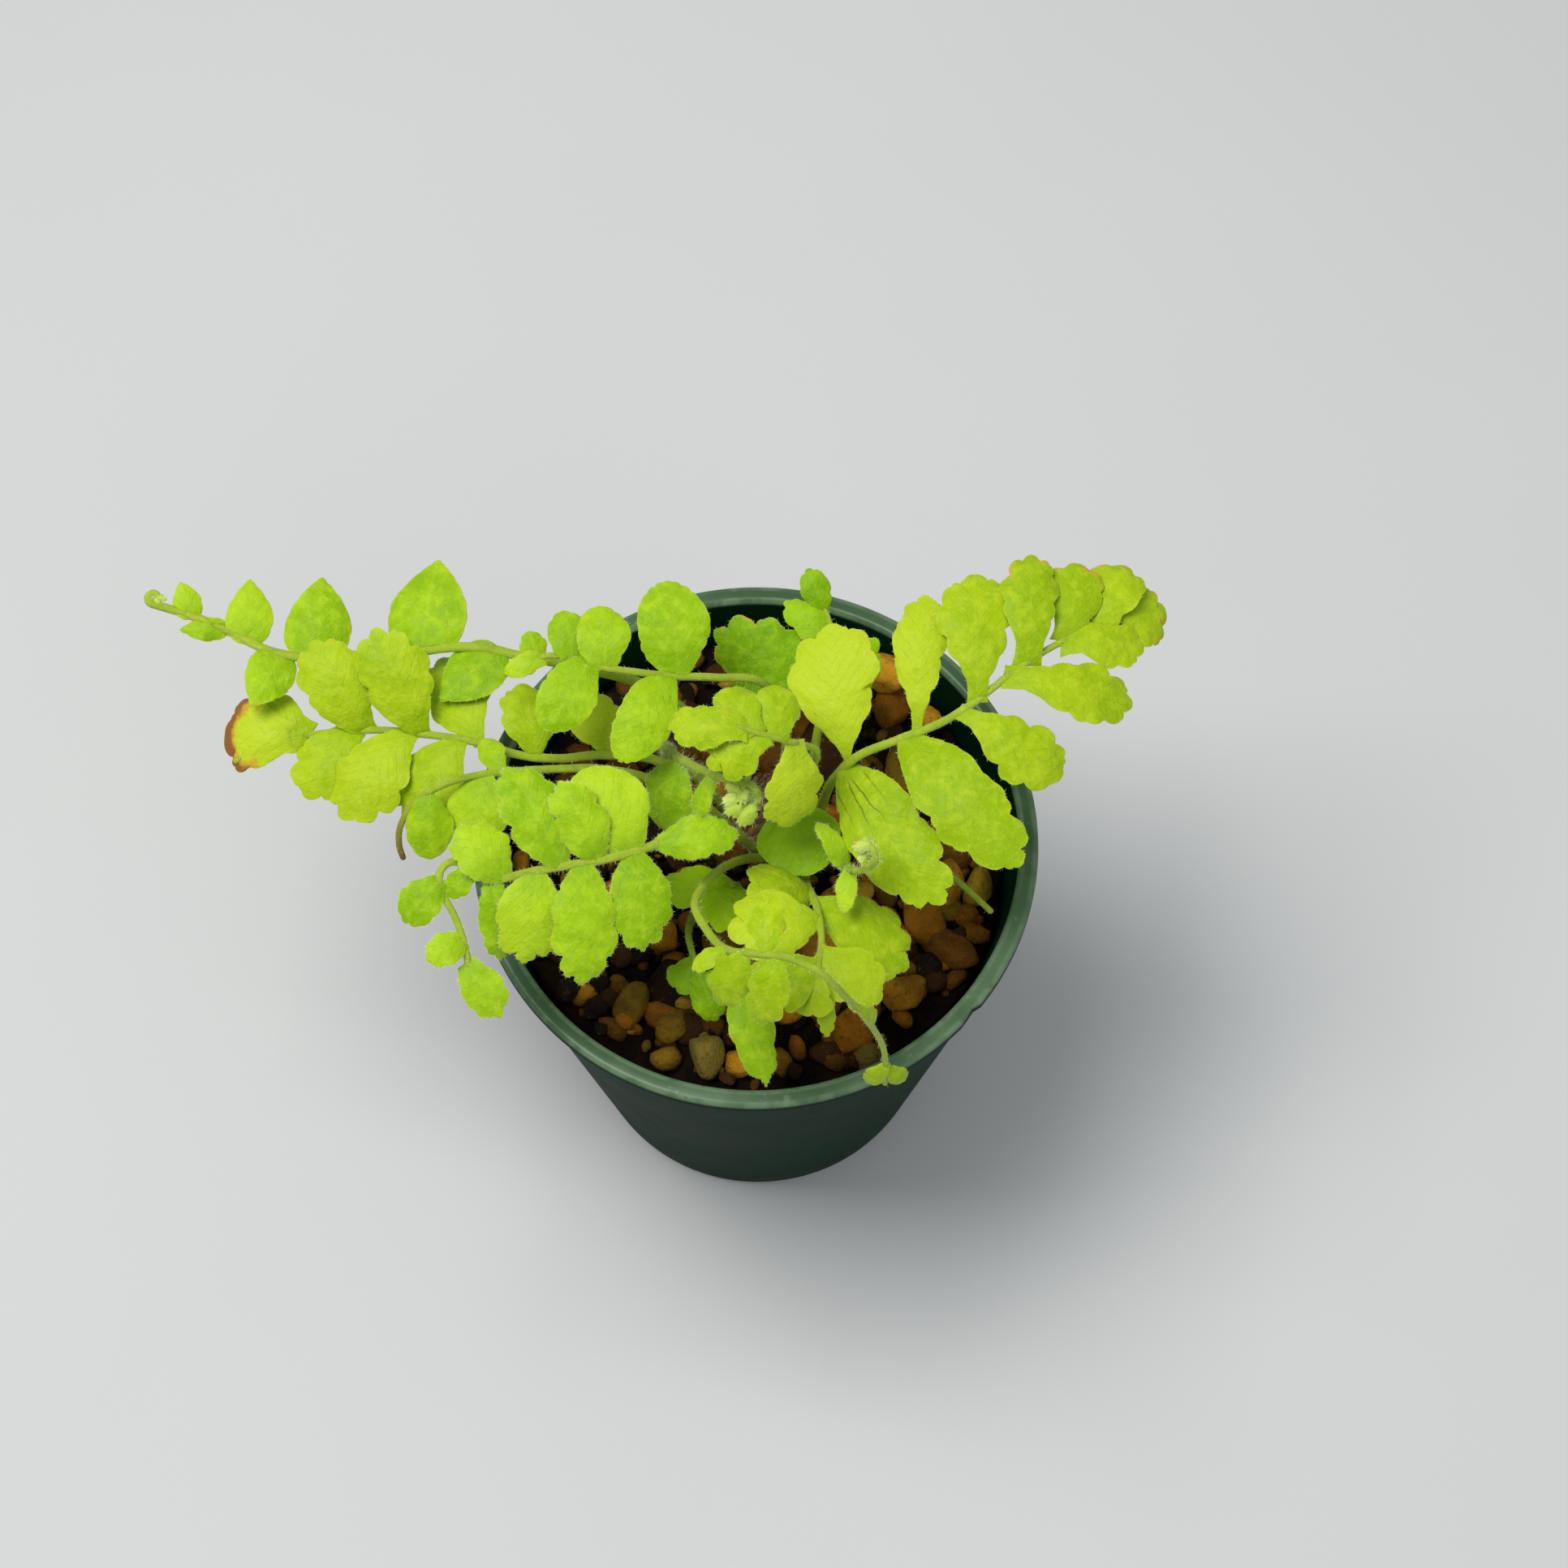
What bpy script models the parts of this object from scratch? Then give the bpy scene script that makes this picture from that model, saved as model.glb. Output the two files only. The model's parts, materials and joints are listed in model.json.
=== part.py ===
"""Young Boston fern in a small round nursery pot.

The foot of the pot stands on z = 0 with its axis on the z axis, and the plant is seen in the
photograph from the -y side. Sizes below are in millimetres and are turned into metres by MM.
"""
import math
import random

import bmesh
import bpy
import numpy as np
from mathutils import Matrix, Vector

MM = 0.001

# Driving dimensions of the pot
RIM_RADIUS = 33.0
RIM_WIDTH = 2.2
LIP_HEIGHT = 1.6
POT_HEIGHT = 64.0
FOOT_RADIUS = 21.7
WALL = 1.2
FLOOR = 1.4
TURN_STEPS = 36
DRAIN_HOLES = 6
DRAIN_RADIUS = 2.6
DRAIN_CIRCLE = 15.0

# The soil plug and its grit
GAP = 0.35
SOIL_TOP = 56.6
GRIT_COUNT = 40
GRIT_SEED = 11
GRIT_SMALL = 3.1
GRIT_LARGE = 4.6
GOLDEN_ANGLE = math.pi * (3.0 - math.sqrt(5.0))

# The crown, where the stems come together
CROWN_X = 2.5
CROWN_Y = 5.5
CROWN_RADIUS = 6.9
CROWN_TOP = 60.4
CROWN_BOTTOM = 50.0
HOLE_TOP = 62.5
HOLE_GAP = 0.55

# The leaflets
BLADE_THICKNESS = 0.75
STALK_HALF_WIDTH = 0.45
FOOT_GROWS = 0.5
ROOT_SINK = 0.3
BASE_POWER = 0.75
TIP_POWER = 0.5
LOBES_START = 0.32
LOBE_ROUNDNESS = 0.7
LOBES_EASE_IN = 4.0
LOBE_DEPTH = 0.1
LEAST_LENGTH = 1e-9
LIGHT_X, LIGHT_Y, LIGHT_Z = 0.0, -0.25, 1.0
TURN_TO_LIGHT = 0.7
SLIVER_SHARE = 0.62
SMALL_LEAFLET = 6.5
LARGE_LEAFLET = 11.0
RIB_SHARE = 0.86
EAR_PLACE = 0.2
EAR_REACH = 0.18
ROLL_SWING = 9.0
COIL_CLOSES = 0.66
ROUTE_PIECES = 160
OUTLINE_PIECES = 241


def clear_scene():
    for old in list(bpy.data.objects):
        bpy.data.objects.remove(old, do_unlink=True)


clear_scene()
model = bpy.data.collections.new("potted_boston_fern")
bpy.context.scene.collection.children.link(model)
cutters = bpy.data.collections.new("cutters")
bpy.context.scene.collection.children.link(cutters)


def plain_material(name, colour, roughness):
    material = bpy.data.materials.new(name)
    material.use_nodes = True
    shader = material.node_tree.nodes["Principled BSDF"]
    shader.inputs["Base Color"].default_value = (*colour, 1.0)
    shader.inputs["Roughness"].default_value = roughness
    shader.inputs["Metallic"].default_value = 0.0
    material.diffuse_color = (*colour, 1.0)
    return material


def mesh_object(name, points, faces, collection):
    mesh = bpy.data.meshes.new(name)
    mesh.from_pydata(points, [], faces)
    thing = bpy.data.objects.new(name, mesh)
    collection.objects.link(thing)
    return thing


def turned(name, profile, collection):
    """A profile of (radius, height) in mm, from the axis up and over and back to the axis."""
    points = [(r * MM, 0.0, z * MM) for r, z in profile]
    mesh = bpy.data.meshes.new(name)
    mesh.from_pydata(points, [(i, i + 1) for i in range(len(points) - 1)], [])
    thing = bpy.data.objects.new(name, mesh)
    collection.objects.link(thing)
    screw = thing.modifiers.new("turn", "SCREW")
    screw.axis = "Z"
    screw.steps = TURN_STEPS
    screw.render_steps = TURN_STEPS
    screw.use_merge_vertices = True
    screw.merge_threshold = 0.00001
    return thing


def tube(name, points, radii, resolution, collection):
    """A tapering tube through points in mm, made a closed mesh at once."""
    curve = bpy.data.curves.new(name, "CURVE")
    curve.dimensions = "3D"
    curve.bevel_depth = MM
    curve.bevel_resolution = resolution
    curve.use_fill_caps = True
    spline = curve.splines.new("POLY")
    spline.points.add(len(points) - 1)
    for knot, place, radius in zip(spline.points, points, radii):
        knot.co = (place[0] * MM, place[1] * MM, place[2] * MM, 1.0)
        knot.radius = radius
    guide = bpy.data.objects.new(name + "_curve", curve)
    collection.objects.link(guide)
    depsgraph = bpy.context.evaluated_depsgraph_get()
    mesh = bpy.data.meshes.new_from_object(guide.evaluated_get(depsgraph))
    work = bmesh.new()
    work.from_mesh(mesh)
    bmesh.ops.remove_doubles(work, verts=work.verts, dist=0.000005)
    bmesh.ops.recalc_face_normals(work, faces=work.faces)
    work.to_mesh(mesh)
    work.free()
    thing = bpy.data.objects.new(name, mesh)
    thing.matrix_world = guide.matrix_world.copy()
    collection.objects.link(thing)
    bpy.data.objects.remove(guide, do_unlink=True)
    return thing


def boolean(thing, operands, operation, solver="EXACT"):
    """Joins or cuts a whole collection in one step, keeps the result and drops the operands."""
    step = thing.modifiers.new(operation.lower(), "BOOLEAN")
    step.operation = operation
    step.operand_type = "COLLECTION"
    step.collection = operands
    step.solver = solver
    depsgraph = bpy.context.evaluated_depsgraph_get()
    mesh = bpy.data.meshes.new_from_object(thing.evaluated_get(depsgraph))
    thing.modifiers.clear()
    thing.data = mesh
    for used in list(operands.objects):
        bpy.data.objects.remove(used, do_unlink=True)
    bpy.data.collections.remove(operands)


def cutter_collection(name):
    group = bpy.data.collections.new(name)
    cutters.children.link(group)
    return group


def hide_cutter(thing):
    thing.hide_render = True
    thing.display_type = "WIRE"


def thin_out(thing, share):
    """Collapses the slivers that a join leaves, down to a share of the triangles."""
    step = thing.modifiers.new("thin_out", "DECIMATE")
    step.ratio = share
    depsgraph = bpy.context.evaluated_depsgraph_get()
    mesh = bpy.data.meshes.new_from_object(thing.evaluated_get(depsgraph))
    thing.modifiers.clear()
    thing.data = mesh


def keep_largest_body(thing):
    """Drops what a join leaves loose, so that one closed body stays."""
    work = bmesh.new()
    work.from_mesh(thing.data)
    bmesh.ops.triangulate(work, faces=work.faces)
    unseen = set(work.verts)
    bodies = []
    while unseen:
        front = [unseen.pop()]
        body = set(front)
        while front:
            corner = front.pop()
            for edge in corner.link_edges:
                other = edge.other_vert(corner)
                if other in unseen:
                    unseen.discard(other)
                    body.add(other)
                    front.append(other)
        bodies.append(body)
    bodies.sort(key=len)
    scraps = [corner for body in bodies[:-1] for corner in body]
    bmesh.ops.delete(work, geom=scraps, context="VERTS")
    work.to_mesh(thing.data)
    work.free()


# The nursery pot: one thin moulded wall with a flat lip and drain holes
inner_top = RIM_RADIUS - RIM_WIDTH
inner_foot = FOOT_RADIUS - WALL


def inner_radius(height):
    """The inside of the wall is a straight cone from the floor to the lip."""
    share = (height - FLOOR) / (POT_HEIGHT - FLOOR)
    return inner_foot + (inner_top - inner_foot) * share


pot = turned("pot", [
    (0.0, FLOOR),
    (inner_foot, FLOOR),
    (inner_radius(POT_HEIGHT - 0.4), POT_HEIGHT - 0.4),
    (inner_top + 0.4, POT_HEIGHT),
    (RIM_RADIUS - 0.4, POT_HEIGHT),
    (RIM_RADIUS, POT_HEIGHT - 0.4),
    (RIM_RADIUS, POT_HEIGHT - LIP_HEIGHT),
    (inner_top + WALL, POT_HEIGHT - LIP_HEIGHT - 0.7),
    (FOOT_RADIUS, 1.0),
    (FOOT_RADIUS - 0.6, 0.0),
    (0.0, 0.0),
], model)
drains = cutter_collection("drains")
for index in range(DRAIN_HOLES):
    angle = 2.0 * math.pi * index / DRAIN_HOLES
    bpy.ops.mesh.primitive_cylinder_add(
        vertices=10, radius=DRAIN_RADIUS * MM, depth=4.0 * FLOOR * MM,
        location=(DRAIN_CIRCLE * math.cos(angle) * MM, DRAIN_CIRCLE * math.sin(angle) * MM, FLOOR / 2 * MM))
    drill = bpy.context.object
    for holder in list(drill.users_collection):
        holder.objects.unlink(drill)
    drains.objects.link(drill)
    hide_cutter(drill)
boolean(pot, drains, "DIFFERENCE")
pot.data.materials.append(plain_material("dark_green_plastic", (0.022, 0.075, 0.045), 0.42))


def smooth_route(points, pieces):
    """Catmull-Rom curve through hand-placed points, read at equal steps of length."""
    knots = np.asarray(points, float)
    knots = np.vstack([2 * knots[0] - knots[1], knots, 2 * knots[-1] - knots[-2]])
    parts = []
    for i in range(1, len(knots) - 2):
        a, b, c, d = knots[i - 1:i + 3]
        t = np.linspace(0.0, 1.0, 24, endpoint=False)[:, None]
        parts.append(0.5 * (2 * b + (c - a) * t + (2 * a - 5 * b + 4 * c - d) * t ** 2
                            + (3 * b - a - 3 * c + d) * t ** 3))
    fine = np.vstack(parts + [knots[-2:-1]])
    run = np.concatenate([[0.0], np.cumsum(np.linalg.norm(np.diff(fine, axis=0), axis=1))])
    wanted = np.linspace(0.0, run[-1], pieces + 1)
    return np.stack([np.interp(wanted, run, fine[:, axis]) for axis in range(3)], 1)


def along(route, share):
    """Place, direction and upper side of a stem at a share of its length."""
    place = share * (len(route) - 1)
    low = min(int(place), len(route) - 2)
    spot = route[low] + (route[low + 1] - route[low]) * (place - low)
    ahead = route[min(low + 2, len(route) - 1)] - route[max(low - 1, 0)]
    ahead = ahead / np.linalg.norm(ahead)
    upper = np.array([0.0, 0.0, 1.0]) - ahead * ahead[2]
    upper = upper / np.linalg.norm(upper)
    return spot, ahead, upper


def curl(route, radius, turns, side):
    """The coiled tip of a young frond: a spiral that closes to a third of its radius."""
    spot, ahead, upper = along(route, 1.0)
    across = np.cross(upper, ahead)
    inward = upper * side[1] + across * side[0]
    inward = inward / np.linalg.norm(inward)
    centre = spot + inward * radius
    count = max(6, round(turns * 8))
    angle = np.linspace(0.0, 2 * math.pi * turns, count + 1)[1:, None]
    reach = radius * (1.0 - COIL_CLOSES * angle / angle[-1])
    return np.vstack([route, centre - inward * reach * np.cos(angle) + ahead * reach * np.sin(angle)])


def half_outline(t, long, wide, lobes, foot, shape):
    """Edge of half a leaflet in mm.

    The half width is the sine of pi times x to a power that puts the widest place at fat, raised
    to a power that goes from base to tip: under 0.6 is blunt, near 1 is a wedge or a point. Lobes
    are rounded bumps whose notches go in along the edge's own normal. The rib stops short of the
    tip, so that the lines from rib to edge fan out without crossing.
    """
    x = (1.0 - np.cos(math.pi * t)) / 2
    power = math.log(0.5) / math.log(shape["fat"])
    blunt = shape.get("base", BASE_POWER) * (1 - x) + shape.get("tip", TIP_POWER) * x
    half = wide / 2 * np.sin(math.pi * np.clip(x, 0, 1) ** power) ** blunt
    edge = np.stack([x * long, np.hypot(half, foot * (1.0 - x))])
    if lobes:
        place = np.clip((t - LOBES_START) / (1.0 - LOBES_START), 0, 1)
        notch = 1.0 - np.abs(np.sin(math.pi * (lobes + 0.5) * place)) ** LOBE_ROUNDNESS
        notch = notch * shape.get("cut", LOBE_DEPTH) * wide * np.clip(place * LOBES_EASE_IN, 0, 1)
        slope = np.gradient(edge, t, axis=1)
        slope = slope / np.maximum(np.linalg.norm(slope, axis=0), LEAST_LENGTH)
        edge = edge + notch * np.stack([slope[1], -slope[0]])
    return edge[0] / long, np.maximum(edge[1], 0), RIB_SHARE * x


def blade(name, route, row, shape, index, collection):
    """One leaflet: a thin arched and cupped sheet, split into the same triangles on both faces.

    The shape may hold its own values for single leaflets under "each".
    """
    shape = {**shape, **shape.get("each", {}).get(index, {})}
    share, swing, lift, long, wide = row
    spot, ahead, upper = along(route, share)
    left = np.cross(upper, ahead)
    turn = math.radians(swing)
    rise = math.radians(lift)
    flat = ahead * math.cos(turn) + left * math.sin(turn)
    reach = flat * math.cos(rise) + upper * math.sin(rise)
    face = upper * math.cos(rise) - flat * math.sin(rise)
    light = np.array([LIGHT_X, LIGHT_Y, LIGHT_Z])
    light = light - reach * (light @ reach)
    face = face * (1 - TURN_TO_LIGHT) + light / np.linalg.norm(light) * TURN_TO_LIGHT
    face = face / np.linalg.norm(face)
    across = np.cross(face, reach)
    roll = math.radians(ROLL_SWING * math.sin(2.4 * index + share * 9.0))
    face, across = (face * math.cos(roll) + across * math.sin(roll),
                    across * math.cos(roll) - face * math.sin(roll))
    most = 0 if long < SMALL_LEAFLET else 2 if long < LARGE_LEAFLET else 3
    lobes = min(shape.get("lobes", 3), most)
    if lobes:
        t = np.concatenate([[0.0, 0.16], np.linspace(LOBES_START, 1.0, 2 * lobes + 2)])
    else:
        t = np.array([0.0, 0.22, 0.48, 0.76, 1.0])
    fine = np.unique(np.concatenate([t, np.linspace(0.0, 1.0, OUTLINE_PIECES)]))
    spread = min(max((share - FOOT_GROWS) / (1 - FOOT_GROWS), 0), 1)
    foot = STALK_HALF_WIDTH + shape.get("foot", 0.0) * spread
    outline = half_outline(fine, long, wide, lobes, foot, shape)
    x, y, rib = (np.interp(t, fine, line) for line in outline)
    y[-1] = 0.0
    ear = shape.get("ear", 0.12) * np.exp(-((x - EAR_PLACE) / EAR_REACH) ** 2)
    toward_tip = 1.0 if math.sin(turn) < 0 else -1.0
    edges = {1.0: y * (1 + ear * toward_tip), -1.0: y * (1 - ear * toward_tip)}

    def sheet(x_place, y_place):
        arch = shape.get("arch", 0.1) * 4 * x_place * (1 - x_place) * long
        droop = shape.get("droop", 0.12) * x_place ** 2 * long
        cup = shape.get("cup", 0.1) * (y_place / (wide / 2)) ** 2 * wide
        bend = shape.get("bend", 0.06) * toward_tip * x_place ** 2 * long
        height = arch - droop - cup
        return (spot + reach * (x_place * (long + ROOT_SINK) - ROOT_SINK)[:, None]
                + across * (y_place + bend)[:, None] + face * height[:, None])

    middle = sheet(rib, np.zeros_like(x))
    sides = {side: sheet(x, side * edges[side]) for side in (1.0, -1.0)}
    count = len(t)
    top = np.vstack([middle, sides[1.0], sides[-1.0][:-1]])
    half = face * BLADE_THICKNESS / 2
    points = np.vstack([top + half, top - half])
    under = len(top)
    tip = 2 * count - 1
    faces = []
    for i in range(count - 1):
        for start in (count, 2 * count):
            here = start + i
            beyond = tip if i == count - 2 else here + 1
            for tri in ((i, i + 1, here), (i + 1, beyond, here)):
                faces.append(tri)
                faces.append(tuple(corner + under for corner in tri[::-1]))
            faces.append((here, beyond, beyond + under))
            faces.append((here, beyond + under, here + under))
    for here in (count, 2 * count):
        faces.append((0, here, here + under))
        faces.append((0, here + under, under))
    thing = mesh_object(name, [tuple(p * MM) for p in points], faces, collection)
    work = bmesh.new()
    work.from_mesh(thing.data)
    bmesh.ops.recalc_face_normals(work, faces=work.faces)
    work.to_mesh(thing.data)
    work.free()
    return thing


leaf_green = plain_material("leaf_green", (0.38, 0.55, 0.02), 0.5)
leaf_yellow = plain_material("leaf_yellow", (0.55, 0.62, 0.04), 0.5)
leaf_deep = plain_material("leaf_deep", (0.22, 0.42, 0.015), 0.5)

SEAT = 56.8
stem_holes = []


def frond(name, route, pinnae, shape, material,
          steps=10, stem=(0.7, 0.36), coil=None, kept=SLIVER_SHARE):
    """A stem through hand-placed points with its leaflets fused on, as one body.

    A leaflet is (share of the stem's length, swing from the stem's direction with plus to its left,
    lift above the stem's upper side, length, greatest width), in degrees and mm.
    """
    line = smooth_route(route, steps)
    stem_line = line
    if coil:
        stem_line = curl(line, *coil)
    taper = np.linspace(0.0, 1.0, len(stem_line))
    radii = stem[0] + (stem[1] - stem[0]) * taper ** 0.8
    body = tube(name, stem_line, radii, 1, model)
    blades = bpy.data.collections.new(name + "_blades")
    bpy.context.scene.collection.children.link(blades)
    exact = smooth_route(route, ROUTE_PIECES)
    for index, row in enumerate(pinnae):
        blade(name + "_blade", exact, row, shape, index, blades)
    if pinnae:
        boolean(body, blades, "UNION", "MANIFOLD")
        keep_largest_body(body)
        thin_out(body, kept)
    else:
        bpy.data.collections.remove(blades)
    body.data.materials.clear()
    body.data.materials.append(material)
    stem_holes.append((exact, radii[0]))
    return body


# Long frond at the far left: pointed oval leaflets and a coiled tip
frond("frond_far_left", [
    (-2.0, 7.4, SEAT), (-5.5, 12.0, 67), (-12.5, 15.2, 73.6), (-21.5, 16.3, 77), (-27, 16.8, 78.5),
    (-34, 17.9, 78.6), (-46.3, 16.5, 78), (-54.7, 17.3, 78), (-60.1, 19.7, 78.4), (-64.5, 21.5, 79),
    (-69.6, 23.0, 79.5)],
    [(0.49, 55, -4, 9.0, 7.2), (0.60, -106, 5, 11.6, 9.4),
     (0.75, -86, 5, 10.4, 7.7), (0.80, 80, 6, 7.7, 5.8), (0.85, -60, 12, 7.5, 5.5),
     (0.89, 26, -1, 5.3, 2.8), (0.94, -50, 11, 4.4, 3.4)],
    {"fat": 0.37, "base": 0.5, "tip": 0.9, "lobes": 0, "ear": 0.05, "bend": 0.0, "arch": 0.05, "droop": 0.05},
    leaf_green, steps=15, stem=(0.7, 0.5), coil=(1.0, 0.8, (-1, 0)))

# Frond at the upper left, nearer the camera: round leaflets
frond("frond_upper_left", [
    (2.9, 10.3, SEAT), (3.6, 12.0, 69), (0.9, 12.9, 79.5), (-4.6, 12, 83), (-9.2, 11.7, 84),
    (-13.8, 11.8, 85), (-16.9, 12.1, 85.5), (-20, 13.1, 85.5), (-22.5, 13.6, 85.5), (-25.2, 13.4, 85)],
    [(0.67, -85, 21, 11.0, 8.4), (0.69, 67, -5, 11.5, 6.6), (0.83, -75, 13, 7.3, 6.2),
     (0.87, 83, -3, 9.2, 6.6), (0.91, -70, 15, 5.6, 4.8), (0.98, 20, 3, 4.5, 2.5),
     (0.99, -88, 22, 3.2, 3.0)],
    {"fat": 0.54, "base": 0.65, "lobes": 0, "ear": 0.15, "cup": 0.06}, leaf_green, steps=13, kept=0.8)

# Low frond behind, half in shade
frond("frond_back", [
    (6.2, 8.6, SEAT), (7.2, 12.5, 66), (8.4, 17, 71), (9.0, 21.0, 74), (7.6, 25.5, 75.5)],
    [(0.54, -32, -8, 9.5, 6.3), (0.60, 77, 7, 14.6, 10.0), (0.80, 50, -3, 7.5, 4.3),
     (0.95, 8, 14, 5.2, 3.7)],
    {"fat": 0.55, "lobes": 3}, leaf_deep, steps=7)

# Broad yellow frond to the left
frond("frond_left_broad", [
    (-2.0, 4.6, SEAT), (-6.5, 6.6, 66.5), (-12.3, 7.4, 70.6), (-17.8, 6.8, 73), (-22.4, 5.9, 74),
    (-27, 5.9, 75), (-31.6, 7, 76), (-37.3, 8, 76), (-42.9, 8.8, 75.5), (-49.6, 8.9, 74.5),
    (-55.2, 7.9, 74), (-59.8, 6, 73)],
    [(0.47, -77, 19, 8.7, 7.2), (0.57, -57, -4, 12.6, 8.4), (0.60, 65, -14, 11.2, 8.4),
     (0.67, -58, 40, 13.2, 8.6), (0.69, 63, -5, 12.6, 8.9), (0.77, -62, 40, 11.8, 8.4),
     (0.79, 60, -2, 9.4, 8.2), (0.87, -40, 4, 9.0, 6.4), (0.88, -14, 4, 9.0, 8.8),
     (0.34, -72, 10, 8.2, 6.6)],
    {"fat": 0.60, "tip": 0.45, "lobes": 3, "cut": 0.09, "foot": 1.6, "each": {8: {"fat": 0.7, "tip": 0.34}}},
    leaf_yellow, steps=13)

# Frond that curls down at the left behind the front one
frond("frond_left_curled", [
    (-0.9, 1.9, SEAT), (-5.5, 2.8, 66.5), (-12.2, 4.2, 72), (-17.7, 4.0, 75.4), (-22.2, 3.3, 77),
    (-26.8, 2.6, 78), (-31.3, 1.9, 78.5), (-34.5, 1, 78.5), (-37.3, -0.2, 78), (-39.2, -1.6, 77),
    (-40.3, -3.6, 76), (-40.4, -5.3, 75), (-40, -6.4, 74)],
    [(0.62, 87, -25, 5.6, 5.6), (0.68, -74, -8, 5.4, 3.2), (0.71, 69, -21, 8.1, 7.5),
     (0.84, 63, -19, 7.6, 5.6)],
    {"fat": 0.55, "lobes": 0, "cup": 0.14}, leaf_green, steps=14)

# Front left frond, the sharpest in view, with a tip that hooks round and hangs
frond("frond_front_left", [
    (0.9, 0.9, SEAT), (-2.4, -2.2, 71), (-5.9, -5.6, 79), (-8.6, -7.2, 82), (-11.7, -9.2, 84),
    (-14.3, -10.5, 85), (-17, -11.4, 85.5), (-20.5, -12.2, 86), (-25, -13.1, 86), (-28.1, -13.8, 86),
    (-30.8, -13.1, 86), (-33.1, -11.8, 86), (-34.5, -12.4, 85.5), (-34.8, -13.7, 85),
    (-34.2, -15.3, 84), (-33.1, -17.2, 83), (-32.2, -19.5, 82), (-31.7, -21.7, 80.5),
    (-32.1, -23.7, 79.5)],
    [(0.45, 157, 26, 9.3, 5.2), (0.49, 79, -19, 11.0, 7.4), (0.487, -76, 20, 10.8, 9.2),
     (0.55, -73, 31, 9.8, 6.4), (0.575, 84, -20, 13.4, 7.8), (0.61, -74, 24, 12.5, 7.6),
     (0.65, 74, -26, 10.4, 8.2), (0.70, -54, 24, 7.6, 6.8), (0.72, 112, -35, 9.6, 4.3),
     (0.75, 62, -21, 4.3, 3.1), (0.83, -48, 5, 6.0, 4.9), (0.93, -84, 12, 4.6, 3.8),
     (0.97, 40, 10, 6.9, 5.0)],
    {"fat": 0.56, "base": 0.65, "lobes": 3, "cut": 0.09, "cup": 0.08}, leaf_green, steps=24,
    coil=(0.9, 0.6, (1, 0)))

# Young frond that stands up in the middle, its leaflets still folded
frond("frond_young", [
    (4.0, 7.0, SEAT), (5.4, 4.5, 70), (6.8, 3.0, 80), (6.6, 1.8, 86), (3.8, 1.0, 90), (0.6, 1.0, 92),
    (-1.8, 1.4, 93)],
    [(0.82, 116, -32, 10.0, 7.8), (0.88, -84, 16, 6.0, 5.4), (0.92, 40, -30, 7.2, 6.6),
     (0.95, -52, -10, 6.4, 5.2), (0.98, 12, -18, 8.4, 5.4)],
    {"fat": 0.62, "tip": 0.45, "lobes": 2, "cut": 0.12, "cup": 0.12, "foot": 1.2}, leaf_yellow, steps=11, kept=0.8)

# Woolly crozier that arches over the middle
frond("frond_woolly", [
    (-9.4, 11.6, SEAT), (-10.4, 10.0, 67), (-10.2, 7.2, 74), (-8.6, 4.2, 78), (-6.2, 1.3, 81.6),
    (-3.6, -1.2, 84.8), (-0.9, -2.4, 86.2)],
    [(0.65, -105, -43, 8.8, 7.1), (0.86, -97, -32, 5.8, 2.6)],
    {"fat": 0.56, "lobes": 0}, leaf_green, steps=10, coil=(1.7, 1.05, (-0.5, -0.85)))

# Large frond to the right: wedge leaflets with lobed ends
frond("frond_right_broad", [
    (7.3, 5.6, SEAT), (8.2, 4.2, 68), (9.4, 3.2, 75.5), (11.9, 3.7, 80), (16.5, 4.4, 83), (21, 5.5, 85),
    (24.6, 7.5, 86), (29.2, 11.1, 86.5), (33.9, 14.6, 86), (39.7, 18.1, 84.5), (41.6, 18.9, 84)],
    [(0.35, -77, -9, 20.2, 9.8), (0.37, 67, 12, 15.9, 11.0), (0.50, -66, -7, 20.0, 9.2),
     (0.53, 70, 16, 15.6, 6.4), (0.62, -67, -14, 13.6, 8.0), (0.66, 56, 14, 14.5, 9.0),
     (0.73, -50, -9, 14.9, 7.4), (0.78, 52, 21, 12.5, 7.0), (0.87, -36, 3, 9.4, 6.0),
     (0.88, 56, 22, 9.0, 7.4), (0.94, 38, 18, 8.6, 7.4), (0.97, -14, 0, 7.8, 7.4)],
    {"fat": 0.66, "base": 0.9, "tip": 0.42, "lobes": 3, "cut": 0.09, "cup": 0.09, "foot": 1.8,
     "each": {0: {"fat": 0.56, "base": 0.55}, 2: {"fat": 0.56, "base": 0.55}}},
    leaf_yellow, steps=13)

# Broad yellow frond at the front, lobed
frond("frond_front_broad", [
    (4.9, 1.2, SEAT), (5.3, -3.5, 63.5), (6.0, -8, 69), (6.9, -12.1, 74), (7.5, -17.9, 77.5),
    (6.8, -22.7, 78.5)],
    [(0.51, -47, 23, 10.2, 8.4), (0.62, 65, -33, 13.0, 9.4), (0.75, -77, 16, 10.8, 9.4),
     (0.90, 66, -12, 8.6, 7.4), (0.95, -55, -1, 8.6, 8.0), (0.98, 30, -36, 7.4, 2.5),
     (0.99, -18, -24, 4.6, 6.2)],
    {"fat": 0.60, "tip": 0.42, "lobes": 3, "cut": 0.1, "cup": 0.1}, leaf_yellow, steps=8, kept=0.8)

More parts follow.
